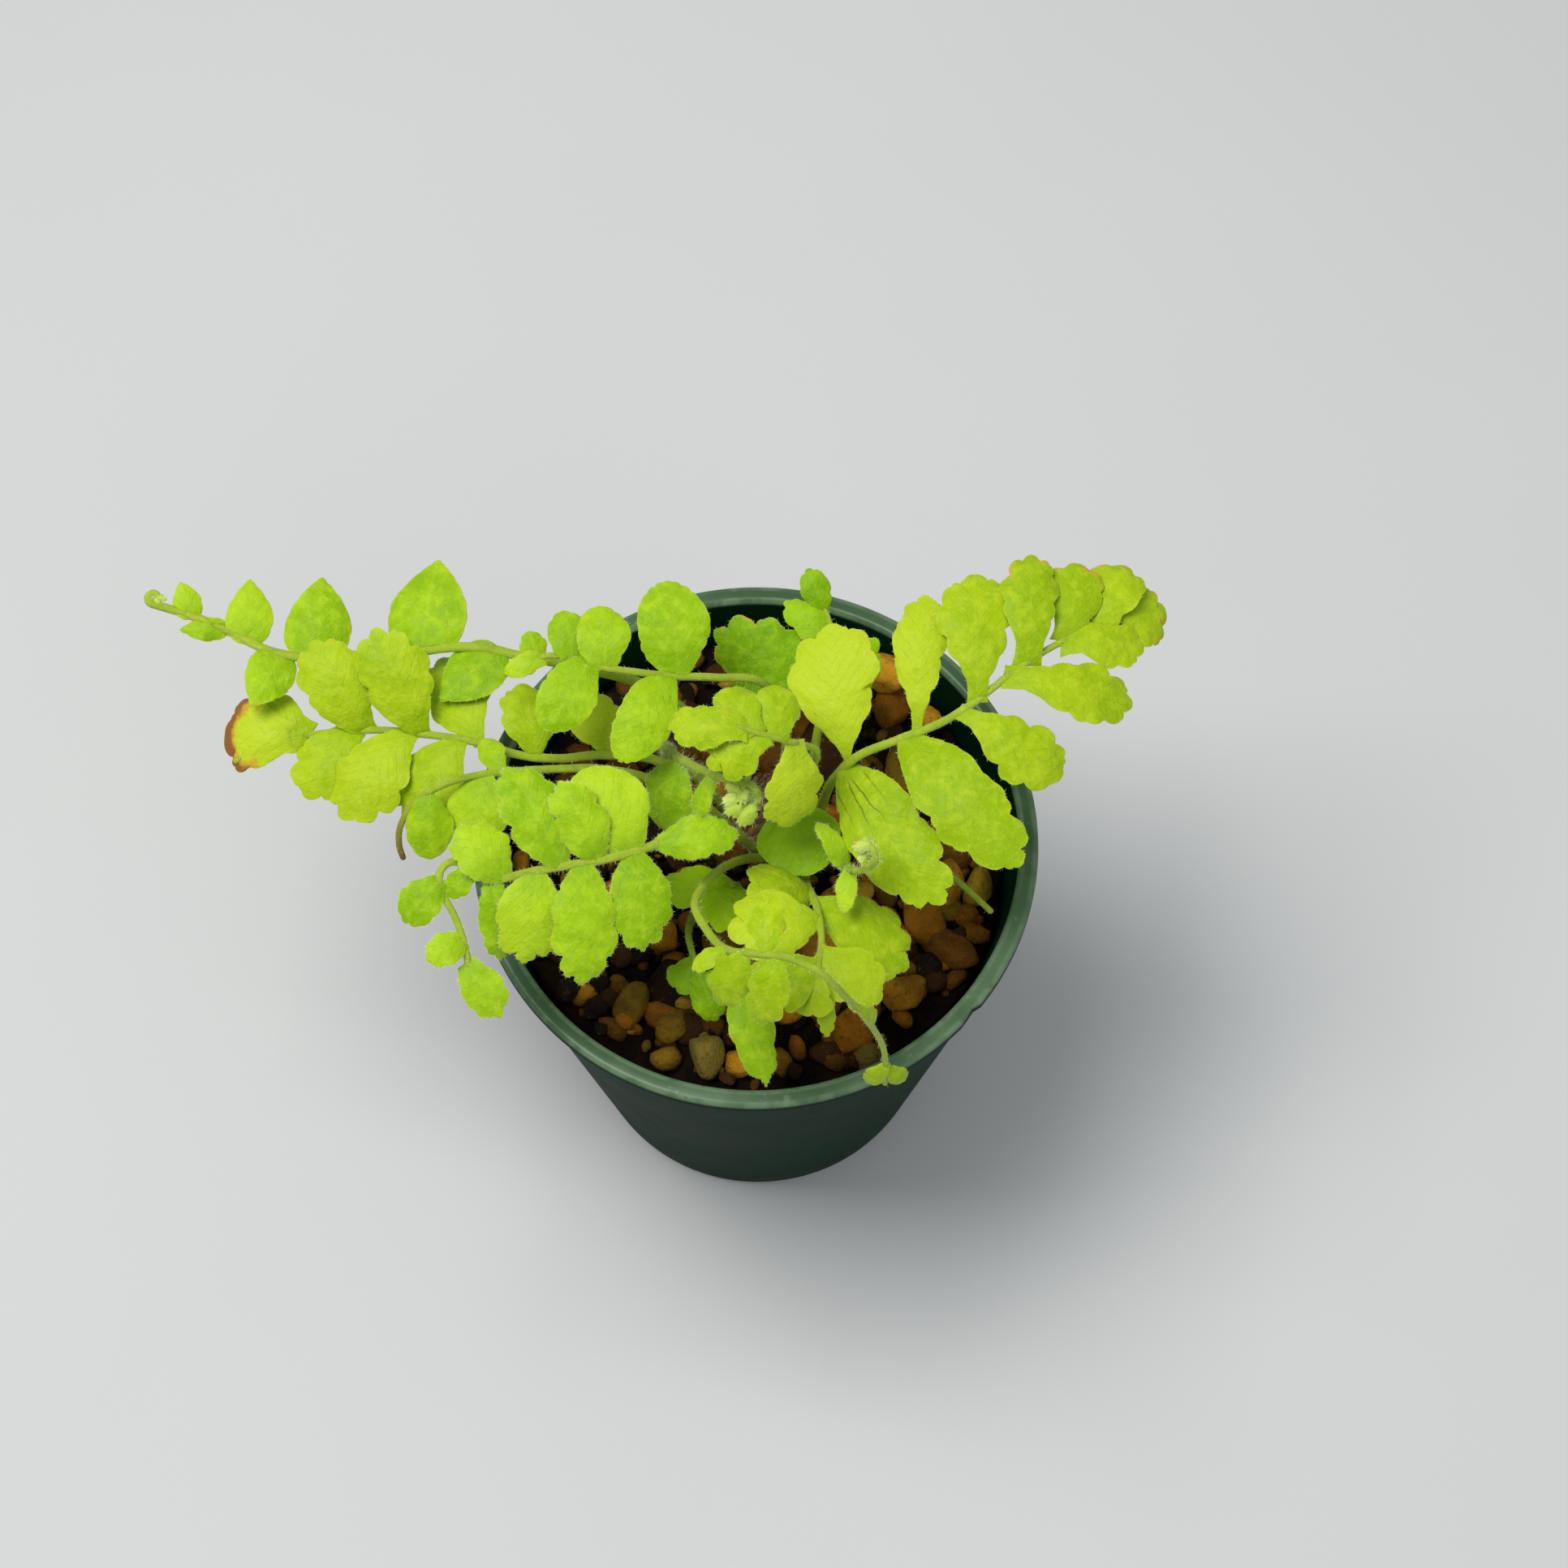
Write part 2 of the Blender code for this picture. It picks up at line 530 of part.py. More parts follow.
# Frond that arches up over the front one and hangs down past the lip
frond("frond_front_arching", [
    (2.9, 0.5, SEAT), (-0.9, -2.8, 65), (-4.4, -8.2, 74), (-6.6, -14.6, 81), (-5, -20.5, 87),
    (-2.9, -24.1, 91), (0.2, -25.7, 94), (3.6, -26.7, 95.5), (7.1, -28.2, 95), (9.9, -29.5, 91),
    (12.1, -30.1, 86), (14, -30.8, 80), (14.6, -31.6, 75), (14.6, -32.4, 71)],
    [(0.54, -118, 10, 4.4, 2.6), (0.58, -136, -20, 7.6, 5.6), (0.61, 101, 15, 6.9, 4.5),
     (0.63, -112, -36, 8.6, 5.2), (0.78, 14, -6, 8.6, 2.5), (0.95, -38, 0, 4.2, 2.6),
     (0.96, 38, 5, 4.0, 2.4)],
    {"fat": 0.58, "lobes": 2, "cut": 0.12, "cup": 0.12}, leaf_yellow, steps=18, stem=(0.65, 0.34),
    kept=0.8)

# Low frond at the front whose one long blade reaches the lip
frond("frond_front_low", [(1.0, -6.2, SEAT), (-0.4, -12, 65.5), (-1.3, -17, 68), (-1.6, -20.0, 68)],
      [(0.98, 17, -6, 11.8, 5.4)],
      {"fat": 0.5, "tip": 0.6, "lobes": 2, "cut": 0.1, "bend": -0.04}, leaf_green, steps=6)

# Round low leaf in the middle
frond("frond_round", [(1.4, 4.0, SEAT), (2.4, 3.2, 64), (4.2, 1.3, 70)],
      [(0.97, -43, -40, 9.0, 9.9)],
      {"fat": 0.5, "base": 0.5, "lobes": 0, "cup": 0.05, "ear": 0.0}, leaf_deep, steps=5)

# Low leaves in the shade of the front left frond
frond("frond_shade", [(-1.8, -4.2, SEAT), (-2.2, -5.6, 63.5), (-2.6, -7.4, 68)],
      [(0.84, 4, -30, 8.8, 8.2), (0.90, -60, -10, 9.2, 6.6)],
      {"fat": 0.55, "lobes": 2}, leaf_deep, steps=5)

# Young coiled frond at the right of the middle
frond("frond_right_young", [
    (6.9, 2.9, SEAT), (8.6, -1.4, 64), (9.4, -5.6, 70.5), (10.7, -9.4, 78), (12.0, -11.4, 82.5),
    (13.2, -11.8, 85.5)],
    [(0.69, -38, 72, 6.3, 2.8), (0.74, -60, -50, 5.0, 2.5)],
    {"fat": 0.5, "lobes": 0}, leaf_green, steps=9, stem=(0.6, 0.36), coil=(1.3, 0.9, (0.6, 0.4)))

# Two small plantlets that come up through the grit by themselves
frond("frond_low_left", [(-7.3, -6.5, SEAT), (-7.7, -12.5, 65.5), (-6.6, -17.6, 67.5)],
      [(0.89, -40, -17, 4.4, 4.7), (0.97, 14, -36, 6.6, 4.2)],
      {"fat": 0.6, "lobes": 0}, leaf_deep, steps=5, stem=(0.55, 0.36))
frond("shoot_low_right", [(15.4, 2.6, SEAT), (18.4, -0.4, 62.8), (23.5, -5.3, 64), (27.2, -9.2, 64.5)],
      [], {"fat": 0.5}, leaf_green, steps=7, stem=(0.6, 0.36))


# The soil plug, its stones pressed together as a rough top
def stone(index, place, radius, squash, collection):
    """A rough stone: a twenty-sided ball with its corners drawn in and out at random."""
    dice = random.Random(GRIT_SEED * 1000 + index)
    bpy.ops.mesh.primitive_ico_sphere_add(subdivisions=1, radius=1.0)
    pebble = bpy.context.object
    for holder in list(pebble.users_collection):
        holder.objects.unlink(pebble)
    collection.objects.link(pebble)
    stretch = (1.0 + 0.3 * dice.random(), 1.0 - 0.15 * dice.random(), squash)
    spin = Matrix.Rotation(dice.random() * 2 * math.pi, 4, "Z")
    turn = spin @ Matrix.Rotation(dice.random() * 0.6, 4, "X")
    for corner in pebble.data.vertices:
        pulled = corner.co * (0.88 + 0.24 * dice.random())
        shaped = turn @ Vector([pulled[axis] * stretch[axis] for axis in range(3)])
        corner.co = (shaped * radius + Vector(place)) * MM
    pebble.name = "stone"
    return pebble


# Loose stones that show between the leaves: x, y, z and radius
named_stones = [
    (12.2, 23.0, 59.6, 2.9), (16.4, 20.2, 58.2, 2.6), (3.7, 24.2, 58.0, 2.1), (17.4, -17.0, 58.2, 2.6),
    (-5.7, -24.6, 57.8, 2.4), (-14.0, -18.0, 58.0, 2.5), (-9.4, -20.6, 57.6, 2.1), (22.4, -3.4, 58.4, 2.3),
    (25.8, -3.9, 57.6, 2.2), (19.8, -7.4, 57.6, 2.8), (22.6, -11.0, 57.4, 2.7), (11.0, -21.2, 57.4, 2.8),
    (-2.2, -25.2, 57.4, 1.6), (-11.4, -9.6, 58.0, 2.5), (8.6, -5.4, 58.0, 1.8)]
soil = turned("soil", [
    (0.0, FLOOR + GAP),
    (inner_radius(FLOOR + GAP) - GAP, FLOOR + GAP),
    (inner_radius(SOIL_TOP - 0.5) - GAP, SOIL_TOP - 0.5),
    (inner_radius(SOIL_TOP) - GAP - 0.8, SOIL_TOP),
    (0.0, SOIL_TOP + 0.4),
], model)
stones = bpy.data.collections.new("stones")
bpy.context.scene.collection.children.link(stones)
for index, (x, y, z, radius) in enumerate(named_stones):
    stone(index, (x, y, z), radius, 0.85, stones)
scatter = random.Random(GRIT_SEED)
for index in range(GRIT_COUNT):
    radius = GRIT_SMALL + (GRIT_LARGE - GRIT_SMALL) * scatter.random() ** 1.6
    out = (inner_radius(SOIL_TOP) - GAP - radius * 1.25) * math.sqrt((index + 0.5) / GRIT_COUNT)
    angle = index * GOLDEN_ANGLE + 0.35 * scatter.random()
    height = SOIL_TOP + 0.2 + 0.9 * scatter.random()
    place = (out * math.cos(angle), out * math.sin(angle), height)
    crowded = any(math.dist(place[:2], other[:2]) < other[3] + radius * 0.6 for other in named_stones)
    if crowded or math.dist(place[:2], (CROWN_X, CROWN_Y)) < CROWN_RADIUS:
        continue
    stone(len(named_stones) + index, place, radius, 0.75, stones)
boolean(soil, stones, "UNION")


def crown_body(name, grow, collection):
    """A lumpy dome: a turned profile widened by grow, so that its hollow in the soil clears it."""
    profile = [(0.0, CROWN_BOTTOM - grow)]
    for step in range(1, 6):
        angle = -math.pi / 2 + math.pi * step / 6
        radius = CROWN_RADIUS * math.cos(angle) ** 0.7 + grow
        middle = (CROWN_TOP + CROWN_BOTTOM) / 2
        profile.append((radius, middle + math.sin(angle) * ((CROWN_TOP - CROWN_BOTTOM) / 2 + grow)))
    profile.append((0.0, CROWN_TOP + grow))
    body = turned(name, profile[::-1], collection)
    body.modifiers["turn"].steps = 14
    body.modifiers["turn"].render_steps = 14
    body.location = (CROWN_X * MM, CROWN_Y * MM, 0.0)
    return body


def stem_cutters(name):
    """Round holes along the lowest stretch of every stem, wider than the stem by HOLE_GAP."""
    group = cutter_collection(name)
    for route, radius in stem_holes:
        low = route[route[:, 2] < HOLE_TOP]
        below = low[0] - 0.4 * (low[1] - low[0]) / np.linalg.norm(low[1] - low[0])
        drill = tube("stem_hole", [below, low[len(low) // 2], low[-1]], [radius + HOLE_GAP] * 3, 1, group)
        hide_cutter(drill)
    return group


hollow = cutter_collection("crown_hollow")
hide_cutter(crown_body("crown_hollow", GAP, hollow))
boolean(soil, hollow, "DIFFERENCE")
boolean(soil, stem_cutters("soil_stem_holes"), "DIFFERENCE")
keep_largest_body(soil)
soil.data.materials.clear()
soil.data.materials.append(plain_material("soil_and_grit", (0.09, 0.045, 0.02), 0.9))

crown = crown_body("crown", 0.0, model)
boolean(crown, stem_cutters("crown_stem_holes"), "DIFFERENCE")
keep_largest_body(crown)
crown.data.materials.clear()
crown.data.materials.append(plain_material("crown_brown", (0.16, 0.09, 0.03), 0.8))
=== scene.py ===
"""Potted young Boston fern: the looks of its pot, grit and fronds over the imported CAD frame.

Sizes are in millimetres unless a name says otherwise, and MM turns them into metres. The foot of
the pot stands on z = 0 with its axis on the z axis, and the photograph looks from the -y side.
"""
import json
import math
import random

import bmesh
import bpy
import numpy as np
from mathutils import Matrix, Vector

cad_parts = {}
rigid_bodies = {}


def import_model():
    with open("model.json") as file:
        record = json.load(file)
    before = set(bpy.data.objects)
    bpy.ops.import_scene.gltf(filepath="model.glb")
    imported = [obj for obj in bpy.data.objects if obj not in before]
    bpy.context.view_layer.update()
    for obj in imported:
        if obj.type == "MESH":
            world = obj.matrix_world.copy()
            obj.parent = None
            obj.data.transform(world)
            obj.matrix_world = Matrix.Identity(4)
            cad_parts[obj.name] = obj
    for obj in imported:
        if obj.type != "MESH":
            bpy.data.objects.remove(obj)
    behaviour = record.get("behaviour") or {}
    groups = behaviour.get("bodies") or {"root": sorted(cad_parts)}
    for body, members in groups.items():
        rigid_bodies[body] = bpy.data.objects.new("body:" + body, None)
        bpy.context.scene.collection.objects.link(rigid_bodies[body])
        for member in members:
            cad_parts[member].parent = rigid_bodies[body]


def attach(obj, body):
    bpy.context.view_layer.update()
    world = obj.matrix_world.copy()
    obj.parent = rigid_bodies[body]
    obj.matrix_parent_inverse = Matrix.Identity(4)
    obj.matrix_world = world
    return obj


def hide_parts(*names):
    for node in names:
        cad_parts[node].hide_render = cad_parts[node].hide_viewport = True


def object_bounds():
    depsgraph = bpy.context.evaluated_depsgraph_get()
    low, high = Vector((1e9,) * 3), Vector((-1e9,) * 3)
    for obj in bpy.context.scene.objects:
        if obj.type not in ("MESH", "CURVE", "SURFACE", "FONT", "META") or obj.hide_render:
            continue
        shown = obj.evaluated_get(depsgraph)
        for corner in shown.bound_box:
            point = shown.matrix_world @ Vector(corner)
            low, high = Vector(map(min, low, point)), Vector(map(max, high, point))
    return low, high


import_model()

MM = 0.001
cad_box = [list(corner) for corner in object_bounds()]

# Camera and studio. The view looks steeply down on the lip from the front, as over a potting bench.
# The floor is a pale matt sweep under one wide soft lamp, in a room with soft light all round.
PHOTO_WIDTH = 1932
FOCAL_PIXELS = 5000
camera_data = bpy.data.cameras.new("camera")
camera_data.sensor_width = 36.0
camera_data.lens = FOCAL_PIXELS / PHOTO_WIDTH * camera_data.sensor_width
camera_data.clip_start = 0.01
camera = bpy.data.objects.new("camera", camera_data)
camera.location = (0.0033, -0.18117, 0.50098)
camera.rotation_euler = (math.radians(23.3), 0.0, 0.0)
bpy.context.scene.collection.objects.link(camera)
bpy.context.scene.camera = camera
bpy.context.scene.view_settings.view_transform = "Standard"

room = bpy.data.worlds.new("room")
room.use_nodes = True
room.node_tree.nodes["Background"].inputs["Color"].default_value = (0.93, 0.97, 1.0, 1.0)
room.node_tree.nodes["Background"].inputs["Strength"].default_value = 0.33
bpy.context.scene.world = room


def soft_lamp(name, place, aim, size, watts, colour):
    """A square lamp at a place in metres whose face is turned to aim."""
    lamp = bpy.data.lights.new(name, "AREA")
    lamp.size = size
    lamp.energy = watts
    lamp.color = colour
    holder = bpy.data.objects.new(name, lamp)
    holder.location = place
    away = np.subtract(place, aim)
    tilt = math.atan2(math.hypot(away[0], away[1]), away[2])
    holder.rotation_euler = (0.0, tilt, math.atan2(away[1], away[0]))
    bpy.context.scene.collection.objects.link(holder)


soft_lamp("window", (-0.18, 0.02, 0.63), (0.0, 0.0, 0.06), 0.30, 2.95, (1.0, 0.985, 0.95))
soft_lamp("room_fill", (0.45, -0.35, 0.40), (0.0, 0.0, 0.05), 0.50, 0.7, (0.92, 0.96, 1.0))


def feed(tree, made, values):
    """Links a node's inputs from sockets, or sets them to values."""
    for key, value in values.items():
        if isinstance(value, bpy.types.NodeSocket):
            tree.links.new(value, made.inputs[key])
        else:
            made.inputs[key].default_value = value


def add_node(tree, kind, values=None, **settings):
    """A shader node with its settings and its inputs."""
    made = tree.nodes.new(kind)
    for key, value in settings.items():
        setattr(made, key, value)
    feed(tree, made, values or {})
    return made


def mixed(tree, share, first, second):
    """The colour between first and second at share. Each is a socket or red, green and blue."""
    sides = [side if isinstance(side, bpy.types.NodeSocket) else (*side, 1.0) for side in (first, second)]
    return add_node(tree, "ShaderNodeMix", {0: share, 6: sides[0], 7: sides[1]}, data_type="RGBA").outputs[2]


def noise(tree, where, scale, detail=3.0, roughness=0.55):
    """Soft noise from 0 to 1."""
    made = add_node(tree, "ShaderNodeTexNoise",
                    {"Vector": where, "Scale": scale, "Detail": detail, "Roughness": roughness})
    return made.outputs["Fac"]


def new_material(name):
    """A material with its node tree, its shader and the object's own coordinates."""
    made = bpy.data.materials.new(name)
    made.use_nodes = True
    tree = made.node_tree
    where = add_node(tree, "ShaderNodeTexCoord").outputs["Object"]
    return made, tree, tree.nodes["Principled BSDF"], where


floor_finish, tree, shader, where = new_material("pale_floor")
feed(tree, shader, {
    "Base Color": mixed(tree, noise(tree, where, 9.0), (0.66, 0.675, 0.68), (0.71, 0.72, 0.72)),
    "Roughness": 0.8,
    "Specular IOR Level": 0.2})
floor_mesh = bpy.data.meshes.new("floor")
floor_mesh.from_pydata([(-3, -3, 0), (3, -3, 0), (3, 3, 0), (-3, 3, 0)], [], [(0, 1, 2, 3)])
floor_mesh.materials.append(floor_finish)
studio_floor = bpy.data.objects.new("floor", floor_mesh)
bpy.context.scene.collection.objects.link(studio_floor)

# The nursery pot: thin dark green plastic, injection moulded in one piece. Its wall tapers to the
# foot, a flat lip turns out at the top, and the floor has six round drain holes.
RIM_RADIUS = 33.0
RIM_WIDTH = 2.2
LIP_HEIGHT = 1.6
POT_HEIGHT = 64.0
FOOT_RADIUS = 21.7
WALL = 1.2
FLOOR = 1.4
DRAIN_HOLES = 6
DRAIN_RADIUS = 2.6
DRAIN_CIRCLE = 15.0
DRILL_SIDES = 32
POT_SIDES = 180
inner_top = RIM_RADIUS - RIM_WIDTH
inner_foot = FOOT_RADIUS - WALL


def inner_radius(height):
    """The inside of the wall is a straight cone from the floor to the lip."""
    return inner_foot + (inner_top - inner_foot) * (height - FLOOR) / (POT_HEIGHT - FLOOR)


def rounded_profile(corners, steps=5):
    """A profile through corners of (radius, height, rounding).

    Each corner is replaced by a quadratic curve from one rounding before it to one rounding after
    it, with the corner as its control point: p = (1-t)^2 a + 2t(1-t) corner + t^2 b.
    """
    spots = np.array([corner[:2] for corner in corners], float)
    t = np.linspace(0.0, 1.0, steps)[:, None]
    parts = [spots[:1]]
    for before, here, after, (_, _, rounding) in zip(spots[:-2], spots[1:-1], spots[2:], corners[1:-1]):
        a = here + (before - here) * min(0.5, rounding / np.linalg.norm(before - here))
        b = here + (after - here) * min(0.5, rounding / np.linalg.norm(after - here))
        parts.append((1 - t) ** 2 * a + 2 * t * (1 - t) * here + t ** 2 * b)
    return np.vstack(parts + [spots[-1:]])


def add_piece(name, points, faces, materials, shares=None, uv=None, marks=None, smooth=True):
    """Puts points in mm and faces into a mesh object at the origin.

    shares gives each face's material index, uv a place per point on the map "grain", and marks
    four numbers per point in the attribute "marks".
    """
    mesh = bpy.data.meshes.new(name)
    mesh.from_pydata((np.asarray(points) * MM).tolist(), [], [list(face) for face in faces])
    for finish in materials:
        mesh.materials.append(finish)
    if shares is not None:
        mesh.polygons.foreach_set("material_index", np.asarray(shares, np.int32))
    corner = np.empty(len(mesh.loops), np.int32)
    mesh.loops.foreach_get("vertex_index", corner)
    if uv is not None:
        layer = mesh.uv_layers.new(name="grain")
        layer.data.foreach_set("uv", np.asarray(uv, np.float32)[corner].ravel())
    if marks is not None:
        layer = mesh.attributes.new("marks", "FLOAT_COLOR", "POINT")
        layer.data.foreach_set("color", np.asarray(marks, np.float32).ravel())
    mesh.polygons.foreach_set("use_smooth", np.full(len(mesh.polygons), smooth))
    mesh.update()
    thing = bpy.data.objects.new(name, mesh)
    bpy.context.scene.collection.objects.link(thing)
    return thing


def grid_faces(rows, columns, wrap):
    """The quads of a grid of points numbered row by row, closed sideways where wrap is true."""
    across = columns if wrap else columns - 1
    row, column = np.meshgrid(np.arange(rows - 1), np.arange(across), indexing="ij")
    beside = (column + 1) % columns
    quads = np.stack([row * columns + column, row * columns + beside,
                      (row + 1) * columns + beside, (row + 1) * columns + column], -1)
    return quads.reshape(-1, 4)


def tidy_mesh(thing, merge=1e-7):
    """Merges doubles, drops faces without area and turns every face outwards."""
    work = bmesh.new()
    work.from_mesh(thing.data)
    bmesh.ops.remove_doubles(work, verts=work.verts, dist=merge)
    bmesh.ops.dissolve_degenerate(work, edges=work.edges, dist=merge)
    bmesh.ops.recalc_face_normals(work, faces=work.faces)
    work.to_mesh(thing.data)
    work.free()


NICK_ANGLE = -0.71
NICK_DEPTH = 0.45
profile = rounded_profile([
    (0.0, FLOOR, 0), (inner_foot, FLOOR, 0.9), (inner_radius(POT_HEIGHT - 0.4), POT_HEIGHT - 0.4, 0.25),
    (inner_top + 0.4, POT_HEIGHT, 0.25), (RIM_RADIUS - 0.4, POT_HEIGHT, 0.3),
    (RIM_RADIUS, POT_HEIGHT - 0.4, 0.3), (RIM_RADIUS, POT_HEIGHT - LIP_HEIGHT, 0.3),
    (inner_top + WALL + 0.25, POT_HEIGHT - LIP_HEIGHT - 0.1, 0.3),
    (inner_top + WALL, POT_HEIGHT - LIP_HEIGHT - 0.9, 0.4),
    (FOOT_RADIUS, 1.0, 0.6), (FOOT_RADIUS - 0.6, 0.0, 0.4), (FOOT_RADIUS - 2.0, 0.0, 0.2),
    (FOOT_RADIUS - 2.3, 0.35, 0.2), (0.0, 0.35, 0)])
run = np.concatenate([[0.0], np.cumsum(np.linalg.norm(np.diff(profile, axis=0), axis=1))])
extra = np.arange(0.0, run[-1], 2.5)
run_fine = np.unique(np.concatenate([run, extra]))
profile = np.stack([np.interp(run_fine, run, profile[:, axis]) for axis in range(2)], 1)
around = np.linspace(0.0, 2 * math.pi, POT_SIDES + 1)[:-1]
radius = profile[:, :1] * (1 + 0.0012 * np.sin(2 * around + 0.7) - 0.0012)
height = np.repeat(profile[:, 1:], len(around), 1)
near_nick = np.exp(-((around - NICK_ANGLE - 2 * math.pi) / 0.022) ** 2)[None, :]
on_lip = np.clip((profile[:, :1] - inner_top - 0.6) / 1.2, 0, 1)
on_lip = on_lip * (profile[:, 1:] > POT_HEIGHT - LIP_HEIGHT - 0.4)
radius = radius - NICK_DEPTH * near_nick * on_lip
height = height - 0.35 * near_nick * on_lip * (height > POT_HEIGHT - 0.8)
pot_points = np.stack([radius * np.cos(around), radius * np.sin(around), height], -1).reshape(-1, 3)
pot = add_piece("pot_shell", pot_points, grid_faces(len(profile), len(around), True), [])
tidy_mesh(pot)

drills = bpy.data.collections.new("drills")
for index in range(DRAIN_HOLES):
    turn = 2 * math.pi * index / DRAIN_HOLES
    ring = np.linspace(0.0, 2 * math.pi, DRILL_SIDES + 1)[:-1]
    sink = np.array([-2.0, 4.0])[:, None]
    wall = np.stack(np.broadcast_arrays(
        DRAIN_CIRCLE * math.cos(turn) + DRAIN_RADIUS * np.cos(ring),
        DRAIN_CIRCLE * math.sin(turn) + DRAIN_RADIUS * np.sin(ring), sink), -1).reshape(-1, 3)
    ends = [list(range(DRILL_SIDES))[::-1], list(range(DRILL_SIDES, 2 * DRILL_SIDES))]
    faces = grid_faces(2, DRILL_SIDES, True).tolist() + ends
    drill = add_piece("drill", wall, faces, [])
    bpy.context.scene.collection.objects.unlink(drill)
    drills.objects.link(drill)
cut = pot.modifiers.new("drain_holes", "BOOLEAN")
cut.operand_type = "COLLECTION"
cut.collection = drills
cut.solver = "EXACT"
drilled = bpy.data.meshes.new_from_object(pot.evaluated_get(bpy.context.evaluated_depsgraph_get()))
pot.modifiers.clear()
pot.data = drilled
for drill in list(drills.objects):
    bpy.data.objects.remove(drill, do_unlink=True)
bpy.data.collections.remove(drills)
pot.data.polygons.foreach_set("use_smooth", np.full(len(pot.data.polygons), True))
pot.data.set_sharp_from_angle(angle=math.radians(40))


def layered(tree, colour, *layers):
    """The colour with each layer of (share, colour) laid over it in turn."""
    for share, over in layers:
        colour = mixed(tree, share, colour, over)
    return colour


def maths(tree, operation, result, *others):
    """An operation on sockets or numbers, taken from the left."""
    for other in others:
        result = add_node(tree, "ShaderNodeMath", {0: result, 1: other}, operation=operation).outputs[0]
    return result


def ramped(tree, value, start, end, low=0.0, high=1.0):
    """value taken smoothly from low at start to high at end."""
    made = add_node(tree, "ShaderNodeMapRange",
                    {"Value": value, "From Min": start, "From Max": end, "To Min": low, "To Max": high},
                    interpolation_type="SMOOTHSTEP")
    return made.outputs["Result"]


def scaled(tree, where, x, y, z):
    """Places stretched along each axis."""
    return add_node(tree, "ShaderNodeMapping", {"Vector": where, "Scale": (x, y, z)}).outputs[0]


def height_of(tree, where):
    """The z of places, in metres."""
    return add_node(tree, "ShaderNodeSeparateXYZ", {"Vector": where}).outputs["Z"]


def bumped(tree, relief, depth):
    """A normal from a relief, with its depth in metres."""
    return add_node(tree, "ShaderNodeBump", {"Height": relief, "Distance": depth}).outputs["Normal"]


plastic, tree, shader, where = new_material("dark_green_plastic")
level = height_of(tree, where)
cloud = noise(tree, where, 70.0, 4.0)
streak = noise(tree, scaled(tree, where, 1.0, 1.0, 0.06), 420.0, 3.0)
grain = noise(tree, where, 2600.0, 2.0)
on_lip = ramped(tree, level, (POT_HEIGHT - 0.75) * MM, (POT_HEIGHT - 0.25) * MM)
body_green = layered(
    tree, (0.002, 0.017, 0.007),
    (ramped(tree, cloud, 0.35, 0.7), (0.005, 0.031, 0.014)),
    (ramped(tree, streak, 0.55, 0.75, 0.0, 0.35), (0.010, 0.034, 0.019)))
reach = add_node(tree, "ShaderNodeVectorMath", {0: scaled(tree, where, 1.0, 1.0, 0.0)}, operation="LENGTH")
# Painted highlights: bands along the rounded outer and inner edges of the lip are made lighter, where they
# catch the light.
outer_edge_highlight = ramped(tree, reach.outputs["Value"], (RIM_RADIUS - 0.95) * MM, (RIM_RADIUS - 0.45) * MM)
inner_edge_highlight = ramped(tree, reach.outputs["Value"], (inner_top + 0.75) * MM, (inner_top + 0.35) * MM)
edges = maths(tree, "MAXIMUM", outer_edge_highlight, inner_edge_highlight)
scuff = noise(tree, where, 330.0, 5.0, 0.75)
# Painted sheen: the top of the lip gets a far lighter green than the wall, for the soft light it reflects.
# The pale scuffs on it are wear.
lip_painted_sheen = layered(
    tree, (0.052, 0.108, 0.050),
    (ramped(tree, cloud, 0.4, 0.65), (0.095, 0.170, 0.085)),
    (maths(tree, "MULTIPLY", edges, ramped(tree, streak, 0.38, 0.62, 0.25, 0.8)), (0.155, 0.245, 0.140)),
    (ramped(tree, scuff, 0.60, 0.67, 0.0, 0.42), (0.22, 0.30, 0.21)))
under_lip = maths(
    tree, "MULTIPLY", ramped(tree, level, (POT_HEIGHT - 5.0) * MM, (POT_HEIGHT - 1.8) * MM),
    ramped(tree, level, (POT_HEIGHT + 0.1) * MM, (POT_HEIGHT - 0.6) * MM))
specks = ramped(tree, noise(tree, where, 640.0, 2.0, 0.7), 0.63, 0.70)
patches = ramped(tree, noise(tree, where, 75.0, 2.0), 0.47, 0.58)
dirt = maths(tree, "MULTIPLY", specks, patches, maths(tree, "ADD", under_lip, 0.28))
foot_dust = maths(
    tree, "MULTIPLY", ramped(tree, level, 10.0 * MM, 0.0), ramped(tree, cloud, 0.4, 0.7, 0.0, 0.35))
wear = maths(tree, "ADD", ramped(tree, cloud, 0.3, 0.8, 0.46, 0.58), maths(tree, "MULTIPLY", dirt, 0.35))
relief = maths(tree, "ADD", maths(tree, "MULTIPLY", grain, 0.25), maths(tree, "MULTIPLY", streak, 0.75), dirt)
feed(tree, shader, {
    "Base Color": layered(
        tree, body_green,
        # the lip takes its painted sheen
        (on_lip, lip_painted_sheen),
        (foot_dust, (0.10, 0.09, 0.07)),
        (maths(tree, "MINIMUM", dirt, 1.0), (0.115, 0.052, 0.022))),
    "Roughness": maths(tree, "SUBTRACT", wear, maths(tree, "MULTIPLY", on_lip, 0.05)),
    "Normal": bumped(tree, relief, 0.00006),
    "Specular IOR Level": 0.02,
    "Coat Weight": maths(tree, "MULTIPLY", on_lip, 0.35),
    "Coat Roughness": 0.25})
pot.data.materials.clear()
pot.data.materials.append(plastic)
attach(pot, "root")
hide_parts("pot")

# The potting mix: a dark moist plug of bark fines that fills the pot to just under the lip. Its
# top is a little uneven, and the grit on it is pressed in.
GAP = 0.35
SOIL_TOP = 56.6
BED_SIDES = 144
BED_RINGS = 45
GOLDEN_ANGLE = math.pi * (3.0 - math.sqrt(5.0))
CROWN_X = 2.5
CROWN_Y = 5.5
CROWN_RADIUS = 6.9
CROWN_TOP = 60.4
CROWN_BOTTOM = 50.0


